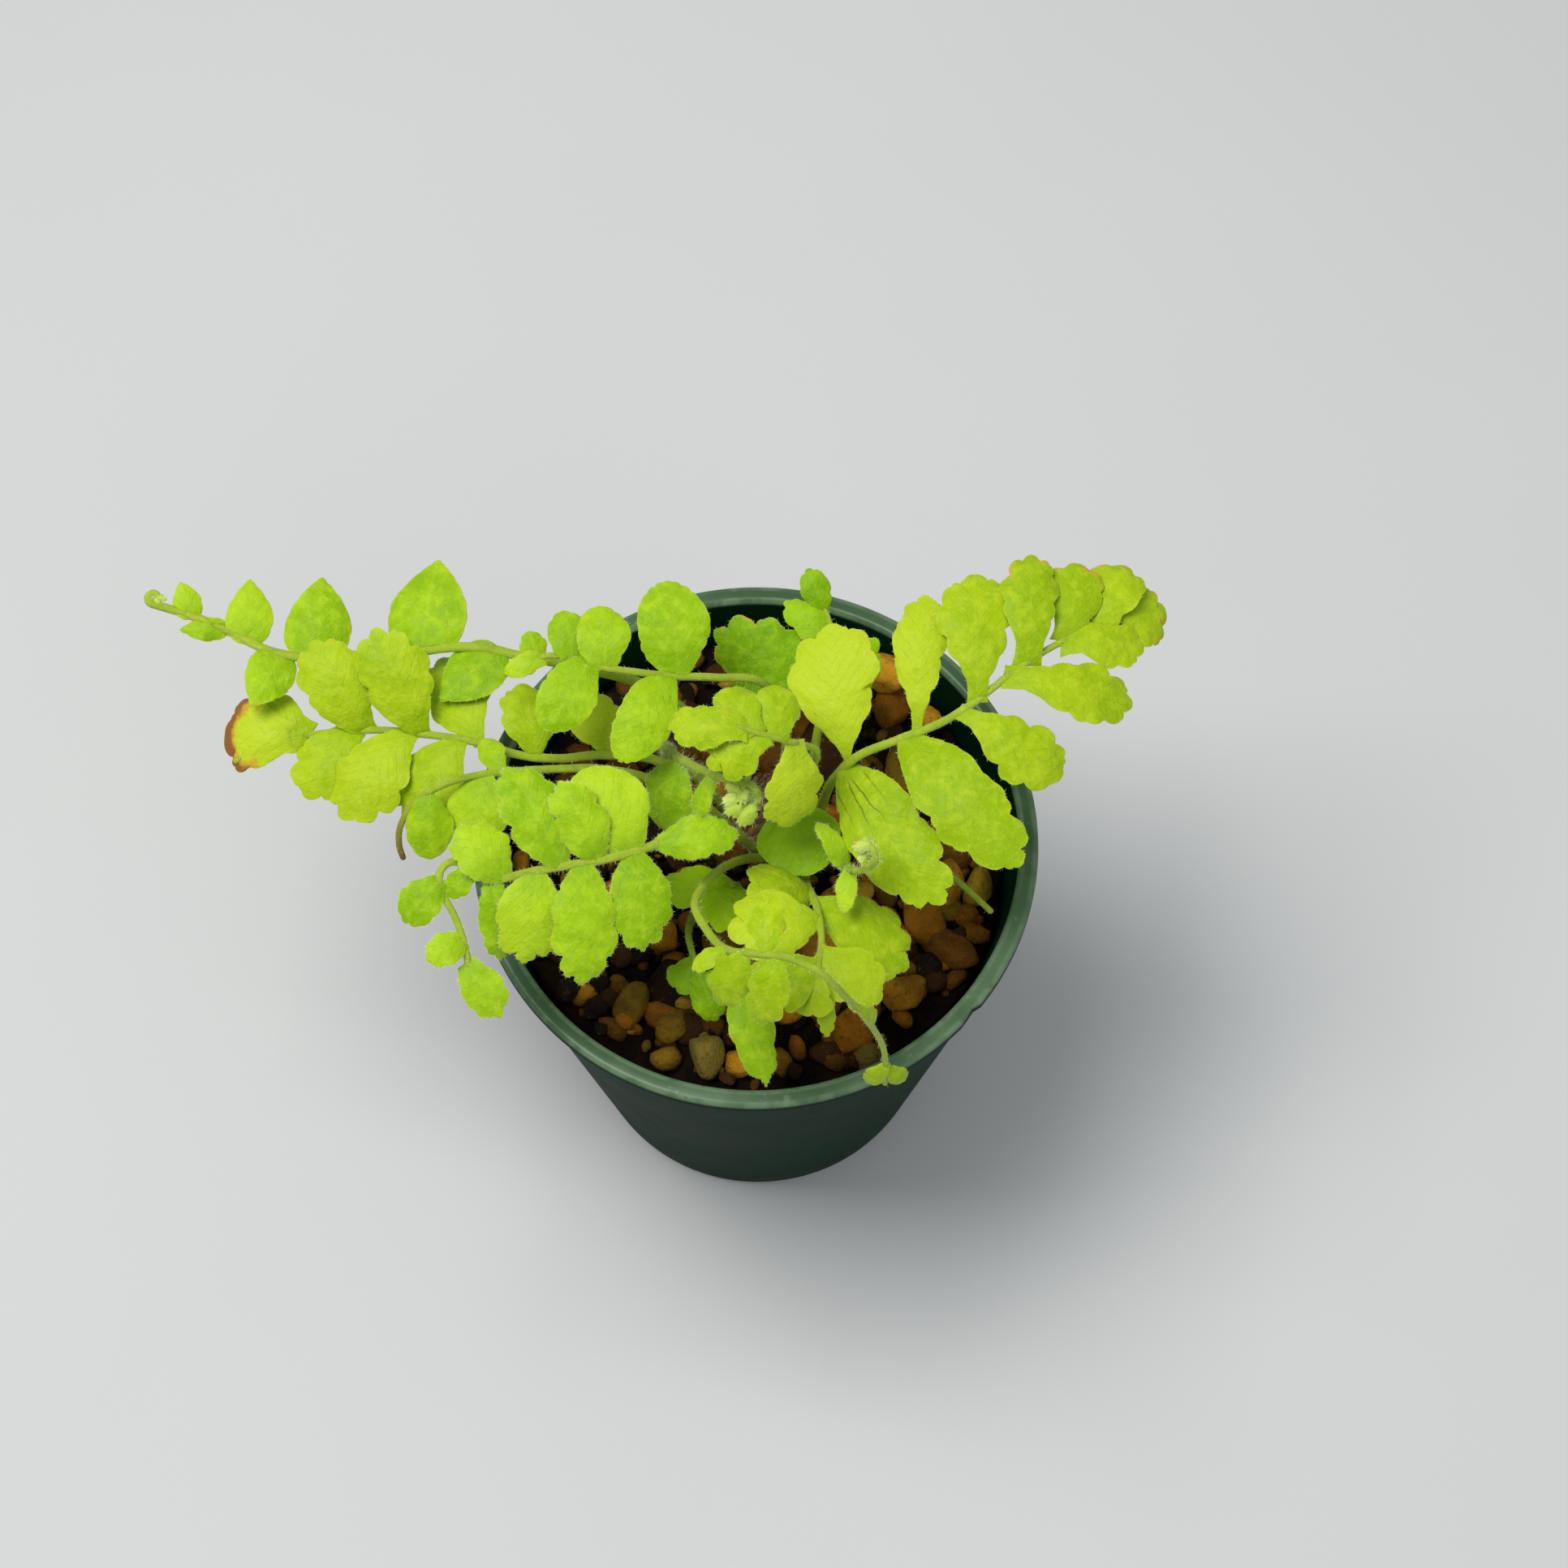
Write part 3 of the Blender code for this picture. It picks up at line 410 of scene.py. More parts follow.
def bed_height(x, y):
    """Height of the mix in mm: SOIL_TOP and a sum of four slow waves, up to 0.7 mm each way."""
    return (SOIL_TOP + 0.25 * np.sin(0.42 * x + 1.0) * np.cos(0.37 * y) + 0.2 * np.sin(0.9 * x - 0.6 * y)
            + 0.12 * np.sin(1.9 * y + 0.8 * x) + 0.1 * np.cos(2.3 * x - 1.7 * y))


plug_side = np.array([(0.0, FLOOR + GAP)] + [
    (inner_radius(level) - GAP, level) for level in np.linspace(FLOOR + GAP, SOIL_TOP - 0.9, 12)])
rings = (inner_radius(SOIL_TOP - 0.9) - GAP) * (1 - np.linspace(0.0, 1.0, BED_RINGS + 1)[1:] ** 1.1)
around = np.linspace(0.0, 2 * math.pi, BED_SIDES + 1)[:-1]
side_points = np.stack(np.broadcast_arrays(
    plug_side[:, :1] * np.cos(around), plug_side[:, :1] * np.sin(around), plug_side[:, 1:]), -1)
top_x, top_y = rings[:, None] * np.cos(around), rings[:, None] * np.sin(around)
top_points = np.stack([top_x, top_y, bed_height(top_x, top_y)], -1)
bed_points = np.concatenate([side_points, top_points]).reshape(-1, 3)
bed = add_piece("soil_bed", bed_points, grid_faces(len(plug_side) + len(rings), len(around), True), [])
tidy_mesh(bed, 1e-6)

mix, tree, shader, where = new_material("bark_fines")
coarse = noise(tree, where, 420.0, 5.0, 0.65)
fine = noise(tree, where, 1900.0, 4.0, 0.7)
feed(tree, shader, {
    "Base Color": layered(
        tree, (0.002, 0.001, 0.0006),
        (ramped(tree, coarse, 0.35, 0.65), (0.013, 0.006, 0.002)),
        (ramped(tree, fine, 0.62, 0.75, 0.0, 0.35), (0.07, 0.026, 0.006))),
    "Roughness": ramped(tree, coarse, 0.3, 0.7, 0.55, 0.95),
    "Normal": bumped(tree, maths(tree, "ADD", coarse, maths(tree, "MULTIPLY", fine, 0.5)), 0.0007),
    "Specular IOR Level": 0.10})
bed.data.materials.append(mix)
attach(bed, "root")
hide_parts("soil")

# The grit: baked clay and lava granules, rounded by tumbling, from orange to nearly black. They lie
# on the mix up to two deep. Smaller chips and bark crumbs are strewn between them.
GRIT_COUNT = 40
GRIT_SEED = 11
GRIT_SMALL = 3.1
GRIT_LARGE = 4.6
CRUMBS = 620
CLAY = {
    "orange": (0.76, 0.34, 0.016), "rust": (0.52, 0.190, 0.006), "brown": (0.25, 0.096, 0.004),
    "ochre": (0.33, 0.19, 0.008), "tan": (0.30, 0.22, 0.035), "yellow": (0.72, 0.44, 0.030),
    # The brightest orange is painted light, for a stone that lies in shade.
    "amber": (0.95, 0.46, 0.020), "black": (0.010, 0.005, 0.002), "umber": (0.070, 0.026, 0.003)}
CRUMB_SHARES = [0.10, 0.20, 0.20, 0.08, 0.02, 0.02, 0.01, 0.19, 0.18]
NAMED_SHARE = 0.9
SCATTERED_SHARE = 0.76
STONE_PLANES = 13
# Stones that show between the leaves: x, y, z, radius and colour
named_stones = [
    # The first stone takes the brightest orange: painted light against the shade it lies in.
    (15.4, 22.7, 60.4, 2.7, "amber"), (16.4, 20.2, 58.2, 2.6, "rust"), (3.7, 24.2, 58.0, 2.1, "orange"),
    (17.4, -17.0, 58.2, 2.6, "orange"), (-5.7, -24.6, 57.8, 2.4, "tan"), (-14.0, -18.0, 58.0, 2.5, "ochre"),
    (-9.4, -20.6, 57.6, 2.1, "ochre"), (22.4, -3.4, 58.4, 2.3, "orange"), (25.8, -3.9, 57.6, 2.2, "yellow"),
    (19.8, -7.4, 57.6, 2.8, "rust"), (22.6, -11.0, 57.4, 2.7, "brown"), (11.0, -21.2, 57.4, 2.8, "rust"),
    (-2.2, -25.2, 57.4, 1.6, "orange"), (-11.4, -9.6, 58.0, 2.5, "rust"), (8.6, -5.4, 58.0, 1.8, "orange")]


def ball(subdivisions):
    """Directions and triangles of a ball made of even triangles."""
    work = bmesh.new()
    bmesh.ops.create_icosphere(work, subdivisions=subdivisions, radius=1.0)
    directions = np.array([corner.co[:] for corner in work.verts])
    triangles = np.array([[corner.index for corner in face.verts] for face in work.faces])
    work.free()
    return directions, triangles


def stones(directions, triangles, places, radii, squash, crispness, seed):
    """Many stones at once, each a soft polyhedron.

    A stone has STONE_PLANES cutting planes with normals n and distances h at random. In direction d
    its surface lies at (0.72^p + sum over planes of (max(d.n, 0) / h)^p)^(-1/p), which rounds the
    edges where planes meet, and p is the crispness. The stone is then stretched, turned about two
    axes and put in its place.
    """
    dice = np.random.default_rng(seed)
    count = len(places)
    planes = dice.normal(size=(count, STONE_PLANES, 3))
    planes /= np.linalg.norm(planes, axis=-1, keepdims=True)
    depth = 0.82 + 0.22 * dice.random((count, STONE_PLANES))
    facing = np.maximum(np.einsum("vk,skj->svj", directions, planes.transpose(0, 2, 1)), 0.0) / depth[:, None]
    facing = np.concatenate([facing, np.full((count, len(directions), 1), 0.72)], -1)
    reach = (facing ** crispness).sum(-1) ** (-1.0 / crispness)
    shaped = directions[None] * reach[..., None]
    stretch = np.stack([1.0 + 0.3 * dice.random(count), 1.0 - 0.15 * dice.random(count),
                        np.full(count, squash)], -1)
    shaped = shaped * stretch[:, None]
    spin, tilt = dice.random(count) * 2 * math.pi, dice.random(count) * 0.6
    y, z = (shaped[..., 1] * np.cos(tilt)[:, None] - shaped[..., 2] * np.sin(tilt)[:, None],
            shaped[..., 1] * np.sin(tilt)[:, None] + shaped[..., 2] * np.cos(tilt)[:, None])
    x, y = (shaped[..., 0] * np.cos(spin)[:, None] - y * np.sin(spin)[:, None],
            shaped[..., 0] * np.sin(spin)[:, None] + y * np.cos(spin)[:, None])
    points = np.stack([x, y, z], -1) * radii[:, None, None] + places[:, None]
    faces = (triangles[None] + (np.arange(count) * len(directions))[:, None, None]).reshape(-1, 3)
    return points.reshape(-1, 3), faces


places, radii, tints = [], [], []
for x, y, z, size, tint in named_stones:
    places.append((x, y, z))
    radii.append(size * NAMED_SHARE)
    tints.append(CLAY[tint])
scatter = random.Random(GRIT_SEED)
shades = ["brown", "rust", "umber", "rust", "orange", "ochre", "rust", "brown", "black", "orange", "brown"]
for index in range(GRIT_COUNT):
    size = GRIT_SMALL + (GRIT_LARGE - GRIT_SMALL) * scatter.random() ** 1.6
    out = (inner_radius(SOIL_TOP) - GAP - size * 1.25) * math.sqrt((index + 0.5) / GRIT_COUNT)
    angle = index * GOLDEN_ANGLE + 0.35 * scatter.random()
    place = (out * math.cos(angle), out * math.sin(angle), SOIL_TOP + 0.2 + 0.9 * scatter.random())
    crowded = any(math.dist(place[:2], other[:2]) < other[3] + size * 0.6 for other in named_stones)
    if crowded or math.dist(place[:2], (CROWN_X, CROWN_Y)) < CROWN_RADIUS:
        continue
    places.append(place)
    radii.append(size * SCATTERED_SHARE)
    tints.append(CLAY[shades[index * 7 % len(shades)]])
large_points, large_faces = stones(*ball(4), np.array(places), np.array(radii), 0.8, 11.0, GRIT_SEED)
large_tints = np.repeat(np.array(tints), len(large_points) // len(places), 0)

dice = np.random.default_rng(GRIT_SEED + 1)
out = (inner_radius(SOIL_TOP) - GAP - 1.5) * np.sqrt((np.arange(CRUMBS) + 0.5) / CRUMBS)
angle = np.arange(CRUMBS) * GOLDEN_ANGLE + 0.5 * dice.random(CRUMBS)
size = 0.5 + 1.45 * dice.random(CRUMBS) ** 1.8
crumb_x, crumb_y = out * np.cos(angle), out * np.sin(angle)
clear = np.hypot(crumb_x - CROWN_X, crumb_y - CROWN_Y) > CROWN_RADIUS + 0.5
level = bed_height(crumb_x, crumb_y) + size * 0.3 + 0.7 * dice.random(CRUMBS) ** 3
crumb_places = np.stack([crumb_x, crumb_y, level], -1)[clear]
choice = dice.choice(len(CLAY), len(crumb_places), p=CRUMB_SHARES)
crumb_points, crumb_faces = stones(*ball(2), crumb_places, size[clear], 0.75, 7.0, GRIT_SEED + 2)
crumb_tints = np.repeat(np.array(list(CLAY.values()))[choice], len(crumb_points) // len(crumb_places), 0)
tint = np.concatenate([large_tints, crumb_tints])
grit = add_piece(
    "grit_stones", np.concatenate([large_points, crumb_points]),
    np.concatenate([large_faces, crumb_faces + len(large_points)]), [],
    marks=np.concatenate([tint, np.ones((len(tint), 1))], 1))

clay, tree, shader, where = new_material("baked_clay")
tint = add_node(tree, "ShaderNodeAttribute", attribute_name="marks").outputs["Color"]
pores = noise(tree, where, 1300.0, 5.0, 0.75)
cloud = noise(tree, where, 330.0, 4.0, 0.6)
feed(tree, shader, {
    "Base Color": layered(
        tree, tint,
        (ramped(tree, cloud, 0.38, 0.72, 0.0, 0.5), (0.050, 0.018, 0.003)),
        (ramped(tree, pores, 0.56, 0.72, 0.0, 0.40), (0.56, 0.25, 0.02)),
        (ramped(tree, pores, 0.43, 0.34, 0.0, 0.6), (0.026, 0.010, 0.003)),
        # Painted shade: each stone darkens to near black low down, next to the mix.
        (ramped(tree, height_of(tree, where), (SOIL_TOP + 2.4) * MM, (SOIL_TOP - 0.1) * MM, 0.0, 0.5),
         (0.008, 0.005, 0.003))),
    "Roughness": ramped(tree, cloud, 0.3, 0.7, 0.28, 0.7),
    "Normal": bumped(tree, maths(tree, "ADD", pores, cloud), 0.0007),
    "Specular IOR Level": 0.25})
grit.data.materials.append(clay)
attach(grit, "root")
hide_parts("soil")

# The crown: the short rootstock from which nearly every frond rises. It is a fibrous brown dome
# that grew half out of the mix and is covered with overlapping papery scales.
SCALES = 190
SCALE_ROWS = 5
SCALE_RING = 6
DOME_ROWS = 40
DOME_RING = 72


def crown_surface(angle, turn, lift):
    """Point on the dome: height goes with sin(angle), radius with cos(angle)^0.7, lift mm proud.

    Low ridges run up it, as the cosine of nine turns, and fade at the pole.
    """
    middle, half = (CROWN_TOP + CROWN_BOTTOM) / 2, (CROWN_TOP - CROWN_BOTTOM) / 2
    ridge = 0.22 * np.cos(9 * turn + 3 * angle) * np.cos(angle)
    out = CROWN_RADIUS * 0.95 * np.maximum(np.cos(angle), 0.0) ** 0.7 + ridge * 0.6 + lift * np.cos(angle)
    return np.stack([CROWN_X + out * np.cos(turn), CROWN_Y + out * np.sin(turn),
                     middle + np.sin(angle) * (half - 0.5 + lift)], -1)


angle, turn = np.meshgrid(np.linspace(-math.pi / 2, math.pi / 2, DOME_ROWS),
                          np.linspace(0.0, 2 * math.pi, DOME_RING + 1)[:-1], indexing="ij")
dome = crown_surface(angle, turn, 0.0).reshape(-1, 3)
dome_faces = grid_faces(DOME_ROWS, DOME_RING, True)
dice = np.random.default_rng(23)
rise = np.linspace(0.12, 1.42, SCALES)[:, None, None] + 0.05 * dice.random((SCALES, 1, 1))
swirl = (np.arange(SCALES) * GOLDEN_ANGLE)[:, None, None]
long = (1.9 + 1.2 * dice.random(SCALES))[:, None, None]
wide = (0.35 + 0.25 * dice.random(SCALES))[:, None, None]
u = np.linspace(0.0, 1.0, SCALE_ROWS)[None, :, None]
v = np.array([-1.0, 0.0, 1.0])[None, None, :]
shape = np.sin(math.pi * np.clip(u * 0.93 + 0.07, 0, 1)) ** 0.7
scale_angle = rise + long * (u - 0.4) / 6.2
scale_turn = swirl + v * wide * shape / np.maximum(6.5 * np.cos(rise) ** 0.7, 1.2) + 0.1 * u
upper = crown_surface(scale_angle, scale_turn, 0.12 + 0.30 * u ** 2 - 0.08 * np.abs(v))
lower = crown_surface(scale_angle, scale_turn, -0.02 + 0.24 * u ** 2 - 0.08 * np.abs(v))
loop = np.concatenate([upper, lower[:, :, ::-1]], 2)
scale_points = SCALE_ROWS * SCALE_RING
starts = (np.arange(SCALES) * scale_points)[:, None, None]
scale_faces = (grid_faces(SCALE_ROWS, SCALE_RING, True)[None] + starts).reshape(-1, 4)
last_ring = np.arange(scale_points - SCALE_RING, scale_points)
ends = np.stack([np.arange(SCALE_RING)[::-1], last_ring])
end_faces = (ends[None] + starts).reshape(-1, SCALE_RING)
crown_faces = dome_faces.tolist() + (scale_faces + len(dome)).tolist() + (end_faces + len(dome)).tolist()
shade = np.concatenate([np.full(len(dome), 0.2), np.repeat(dice.random(SCALES), scale_points)])
crown = add_piece("crown_scales", np.concatenate([dome, loop.reshape(-1, 3)]), crown_faces, [],
                  marks=np.stack([shade, shade, shade, np.ones_like(shade)], 1))
tidy_mesh(crown, 1e-6)


def marked(tree):
    """The three numbers from 0 to 1 of the attribute "marks", and the node that reads it."""
    marks = add_node(tree, "ShaderNodeAttribute", attribute_name="marks")
    return add_node(tree, "ShaderNodeSeparateColor", {"Color": marks.outputs["Color"]}).outputs, marks


bark, tree, shader, where = new_material("papery_scales")
shades, _ = marked(tree)
fibre = noise(tree, scaled(tree, where, 1.0, 1.0, 0.2), 1400.0, 4.0, 0.7)
feed(tree, shader, {
    "Base Color": layered(
        tree, (0.055, 0.022, 0.008),
        (shades[0], (0.28, 0.145, 0.05)),
        (ramped(tree, fibre, 0.4, 0.7, 0.0, 0.7), (0.13, 0.095, 0.03))),
    "Roughness": ramped(tree, fibre, 0.3, 0.7, 0.6, 0.9),
    "Normal": bumped(tree, fibre, 0.0003)})
crown.data.materials.append(bark)
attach(crown, "root")
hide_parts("crown")

# The fronds: green stalks that rise from the crown or straight from the mix, with thin soft leaflets
# set along both sides and, on the young ones, a coiled tip. Leaflets are wavy, scalloped and slightly
# hairy. Each grew in one with its stalk.
BLADE_THICKNESS = 0.34
STALK_HALF_WIDTH = 0.45
ROOT_SINK = 0.3
FOOT_GROWS = 0.5
BASE_POWER = 0.75
TIP_POWER = 0.5
LOBES_START = 0.32
SMALL_LEAFLET = 6.5
LARGE_LEAFLET = 11.0
RIB_SHARE = 0.86
EAR_PLACE = 0.2
EAR_REACH = 0.18
ROLL_SWING = 9.0
COIL_CLOSES = 0.66
TOWARD_LIGHT = np.array([0.0, -0.25, 1.0])
TURN_TO_LIGHT = 0.7
LEAF_COLUMNS = 19
LEAF_ROWS = 46
ROWS_PER_MM = 2.6
EDGE_CROWDING = 1.8
STEM_SIDES = 14
GROOVE_DEPTH = 0.16
HAIR_THICKNESS = 0.032
SKIN_HAIR_THICKNESS = 0.028
FOLDED = {"fat": 0.5, "base": 0.5, "lobes": 0, "cup": 0.55, "arch": 0.3, "droop": 0.5, "tooth": 0.12,
          "teeth": 1.6, "wave": 0.08, "tone": 0.7, "slot": 2}
SEAT = 56.8


def smooth_route(points, pieces):
    """Catmull-Rom curve through given points, read at equal steps of length."""
    knots = np.asarray(points, float)
    knots = np.vstack([2 * knots[0] - knots[1], knots, 2 * knots[-1] - knots[-2]])
    parts = []
    for i in range(1, len(knots) - 2):
        a, b, c, d = knots[i - 1:i + 3]
        t = np.linspace(0.0, 1.0, 24, endpoint=False)[:, None]
        parts.append(0.5 * (2 * b + (c - a) * t + (2 * a - 5 * b + 4 * c - d) * t ** 2
                            + (3 * b - a - 3 * c + d) * t ** 3))
    fine = np.vstack(parts + [knots[-2:-1]])
    run = np.concatenate([[0.0], np.cumsum(np.linalg.norm(np.diff(fine, axis=0), axis=1))])
    wanted = np.linspace(0.0, run[-1], pieces + 1)
    return np.stack([np.interp(wanted, run, fine[:, axis]) for axis in range(3)], 1)


def along(route, share):
    """Place, direction and upper side of a stem at a share of its length."""
    place = share * (len(route) - 1)
    low = min(int(place), len(route) - 2)
    spot = route[low] + (route[low + 1] - route[low]) * (place - low)
    ahead = route[min(low + 2, len(route) - 1)] - route[max(low - 1, 0)]
    ahead = ahead / np.linalg.norm(ahead)
    upper = np.array([0.0, 0.0, 1.0]) - ahead * ahead[2]
    upper = upper / np.linalg.norm(upper)
    return spot, ahead, upper


def curl(route, radius, turns, side):
    """The coiled tip of a young frond: a spiral that closes to a third of its radius."""
    spot, ahead, upper = along(route, 1.0)
    across = np.cross(upper, ahead)
    inward = upper * side[1] + across * side[0]
    inward = inward / np.linalg.norm(inward)
    centre = spot + inward * radius
    angle = np.linspace(0.0, 2 * math.pi * turns, max(16, round(turns * 40)) + 1)[1:, None]
    reach = radius * (1.0 - COIL_CLOSES * angle / angle[-1])
    return np.vstack([route, centre - inward * reach * np.cos(angle) + ahead * reach * np.sin(angle)])


def half_outline(t, long, wide, foot, shape, lobes, teeth, waver):
    """Edge of half a leaflet in mm, and the rib point that belongs to each point of the edge.

    The half width is the sine of pi times x to a power that puts the widest place at fat, raised
    to a power that goes from base to tip: under 0.6 is blunt, near 1 is a wedge or a point. The
    foot, less towards the tip, joins it as the root of the sum of the squares. Lobes and finer
    teeth are rounded bumps whose notches go in along the edge's own normal. A sine of t makes the
    notches deeper and shallower by turns, and waver shifts them along the edge.
    """
    x = (1.0 - np.cos(math.pi * t)) / 2
    power = math.log(0.5) / math.log(shape["fat"])
    blunt = shape.get("base", BASE_POWER) * (1 - x) + shape.get("tip", TIP_POWER) * x
    half = wide / 2 * np.sin(math.pi * np.clip(x, 0, 1) ** power) ** blunt
    edge = np.stack([x * long, np.hypot(half, foot * (1.0 - x))])
    slope = np.gradient(edge, t, axis=1)
    slope = slope / np.maximum(np.linalg.norm(slope, axis=0), 1e-9)
    notch = np.zeros_like(t)
    if lobes:
        place = np.clip((t - LOBES_START) / (1.0 - LOBES_START), 0, 1)
        place = place + 1.4 * waver * place * (1 - place)
        notch = 1.0 - np.abs(np.sin(math.pi * (lobes + 0.5) * place)) ** 0.6
        notch = notch * shape.get("cut", 0.1) * wide * np.clip(place * 4, 0, 1)
        notch = notch * (1 + 0.35 * np.sin(8.0 * t + 60.0 * waver))
    if teeth:
        place = np.clip((t - 0.16) / 0.84, 0, 1)
        place = place + waver * place * (1 - place)
        bite = 1.0 - np.abs(np.sin(math.pi * (teeth + 0.5) * place)) ** 0.75
        bite = bite * (1 + 0.6 * np.sin(14.0 * t + 90.0 * waver))
        notch = notch + shape.get("tooth", 0.2) * bite * np.clip(place * 5, 0, 1)
    edge = edge + notch * np.stack([slope[1], -slope[0]])
    return edge[0], np.maximum(edge[1], 0), RIB_SHARE * x * long


def leaflet(route, row, shape, index):
    """One leaflet as a closed thin sheet over a grid of t along it and v across it.

    A point lies on the line from the rib at t to the edge at t, at the share |v|. The sheet is
    arched along, drooped at the tip, cupped across and waved near the edge. Its half thickness is
    h (1 - 0.7 v^4), less a groove over the rib and more a ridge under it.
    """
    shape = {**shape, **shape.get("each", {}).get(index, {})}
    share, swing, lift, long, wide = row
    spot, ahead, upper = along(route, share)
    left = np.cross(upper, ahead)
    turn = math.radians(swing)
    rise = math.radians(lift)
    flat = ahead * math.cos(turn) + left * math.sin(turn)
    reach = flat * math.cos(rise) + upper * math.sin(rise)
    face = upper * math.cos(rise) - flat * math.sin(rise)
    light = TOWARD_LIGHT - reach * (TOWARD_LIGHT @ reach)
    face = face * (1 - TURN_TO_LIGHT) + light / np.linalg.norm(light) * TURN_TO_LIGHT
    face = face / np.linalg.norm(face)
    across = np.cross(face, reach)
    roll = math.radians(ROLL_SWING * math.sin(2.4 * index + share * 9.0))
    face, across = (face * math.cos(roll) + across * math.sin(roll),
                    across * math.cos(roll) - face * math.sin(roll))
    dice = np.random.default_rng(int(share * 1000) + 17 * index + int(long * 10))
    luck = dice.random(8)
    most = 0 if long < SMALL_LEAFLET else 2 if long < LARGE_LEAFLET else 3
    lobes = min(shape.get("lobes", 3), most)
    leaf_rows = round(LEAF_ROWS + ROWS_PER_MM * long)
    t = np.linspace(0.0, 1.0, leaf_rows)
    teeth = max(3, round(long * shape.get("teeth", 0.55)))
    spread = min(max((share - FOOT_GROWS) / (1 - FOOT_GROWS), 0), 1)
    foot = STALK_HALF_WIDTH + shape.get("foot", 0.0) * spread
    s = np.linspace(-1.0, 1.0, LEAF_COLUMNS)
    v = np.sign(s) * (1 - (1 - np.abs(s)) ** EDGE_CROWDING)
    toward_tip = 1.0 if math.sin(turn) < 0 else -1.0
    edge_x, edge_y = [], []
    for side, waver in ((-1.0, 0.3 * (luck[0] - 0.5)), (1.0, 0.3 * (luck[1] - 0.5))):
        x, y, rib = half_outline(t, long, wide, foot, shape, lobes, teeth, waver)
        y[-1] = 0.0
        ear = shape.get("ear", 0.12) * np.exp(-((x / long - EAR_PLACE) / EAR_REACH) ** 2)
        edge_x.append(x)
        edge_y.append(y * (1 + side * ear * toward_tip))
    edge_x, edge_y = np.array(edge_x), np.array(edge_y)
    right = (v > 0).astype(int)
    x_mm = rib[:, None] + np.abs(v) * (edge_x[right].T - rib[:, None])
    x_place = x_mm / long
    y_place = v * edge_y[right].T
    reach_out = np.hypot(edge_x[right].T - rib[:, None], edge_y[right].T)
    arch = shape.get("arch", 0.1) * 4 * x_place * (1 - x_place) * long
    droop = shape.get("droop", 0.12) * x_place ** 2 * long
    cup = shape.get("cup", 0.1) * (y_place / (wide / 2)) ** 2 * wide
    bend = shape.get("bend", 0.06) * toward_tip * x_place ** 2 * long
    away = np.abs(y_place) / (wide / 2)
    wave = shape.get("wave", 0.05) * wide * away ** 2 * np.sin(
        (5.0 + 3.0 * luck[2]) * x_place * math.sqrt(long / wide) + 6.3 * luck[3] + np.sign(y_place) * luck[4])
    swell = 0.15 * np.sin(1.3 * x_mm + 6.3 * luck[7]) * np.cos(1.1 * y_place + 5.0 * luck[4]) * away ** 0.7
    level = arch - droop - cup + wave + swell

    def sheet(offset):
        return (spot + reach * (x_place * (long + ROOT_SINK) - ROOT_SINK)[..., None]
                + across * (y_place + bend)[..., None] + face * (level + offset)[..., None])

    half = BLADE_THICKNESS / 2 * (1 - 0.7 * v ** 4) * np.ones_like(x_place)
    near_rib = np.exp(-(y_place / 0.4) ** 2) * (1 - 0.85 * np.clip(x_place, 0, 1))
    top = sheet(half - 0.05 * near_rib)
    under = sheet(-half - 0.13 * near_rib)
    count = leaf_rows * LEAF_COLUMNS
    top_id = np.arange(count).reshape(leaf_rows, LEAF_COLUMNS)
    under_id = top_id + count
    under_id[:, 0], under_id[:, -1] = top_id[:, 0], top_id[:, -1]
    for ids in (top_id, under_id):
        ids[-1, :LEAF_COLUMNS // 2] = ids[-1, ::-1][:LEAF_COLUMNS // 2]
    under_id[-1, 0] = under_id[-1, -1] = top_id[-1, -1]
    ring = np.concatenate([top_id, under_id[:, -2:0:-1]], 1)
    quads = ring.ravel()[grid_faces(leaf_rows, ring.shape[1], True)]
    cap = ring[0, ::-1].tolist()
    points = np.concatenate([top.reshape(-1, 3), under.reshape(-1, 3)])
    uv = np.stack([x_place * long, y_place], -1).reshape(-1, 2) / 10
    tone = np.clip(shape.get("tone", 0.5) + 0.7 * (luck[5] - 0.5), 0, 1)
    scorch = shape.get("scorch", {}).get(index, 0.0)
    inward = (1 - np.abs(v)) * reach_out
    burn = np.exp(-inward / (0.35 + 0.9 * scorch)) * np.clip((x_place - 0.45) / 0.35, 0, 1) * scorch
    speck = 0.35 * (luck[6] > 0.55) * np.exp(-((x_place - 0.2 - 0.6 * luck[0]) * long / 0.5) ** 2)
    burn = np.maximum(burn, speck * np.exp(-inward / 0.25) * (y_place * (luck[1] - 0.5) > 0))
    torn = float(index in shape.get("torn", ()))
    marks = np.stack(np.broadcast_arrays(tone, np.abs(v), burn, torn), -1).reshape(-1, 4)
    outward = top[:, [0, -1]] - top[:, [1, -2]]
    outward /= np.maximum(np.linalg.norm(outward, axis=-1, keepdims=True), 1e-9)
    rim = (top[4:-1, [0, -1]].reshape(-1, 3), outward[4:-1].reshape(-1, 3))
    inside = (slice(6, -6), slice(2, -2))
    skin = (top[inside].reshape(-1, 3), np.broadcast_to(face, top[inside].shape).reshape(-1, 3))
    return {"points": points, "faces": quads, "caps": [cap], "uv": np.concatenate([uv, uv]),
            "marks": np.concatenate([marks, marks]), "slot": shape.get("slot", 0), "rim": rim,
            "skin": skin}


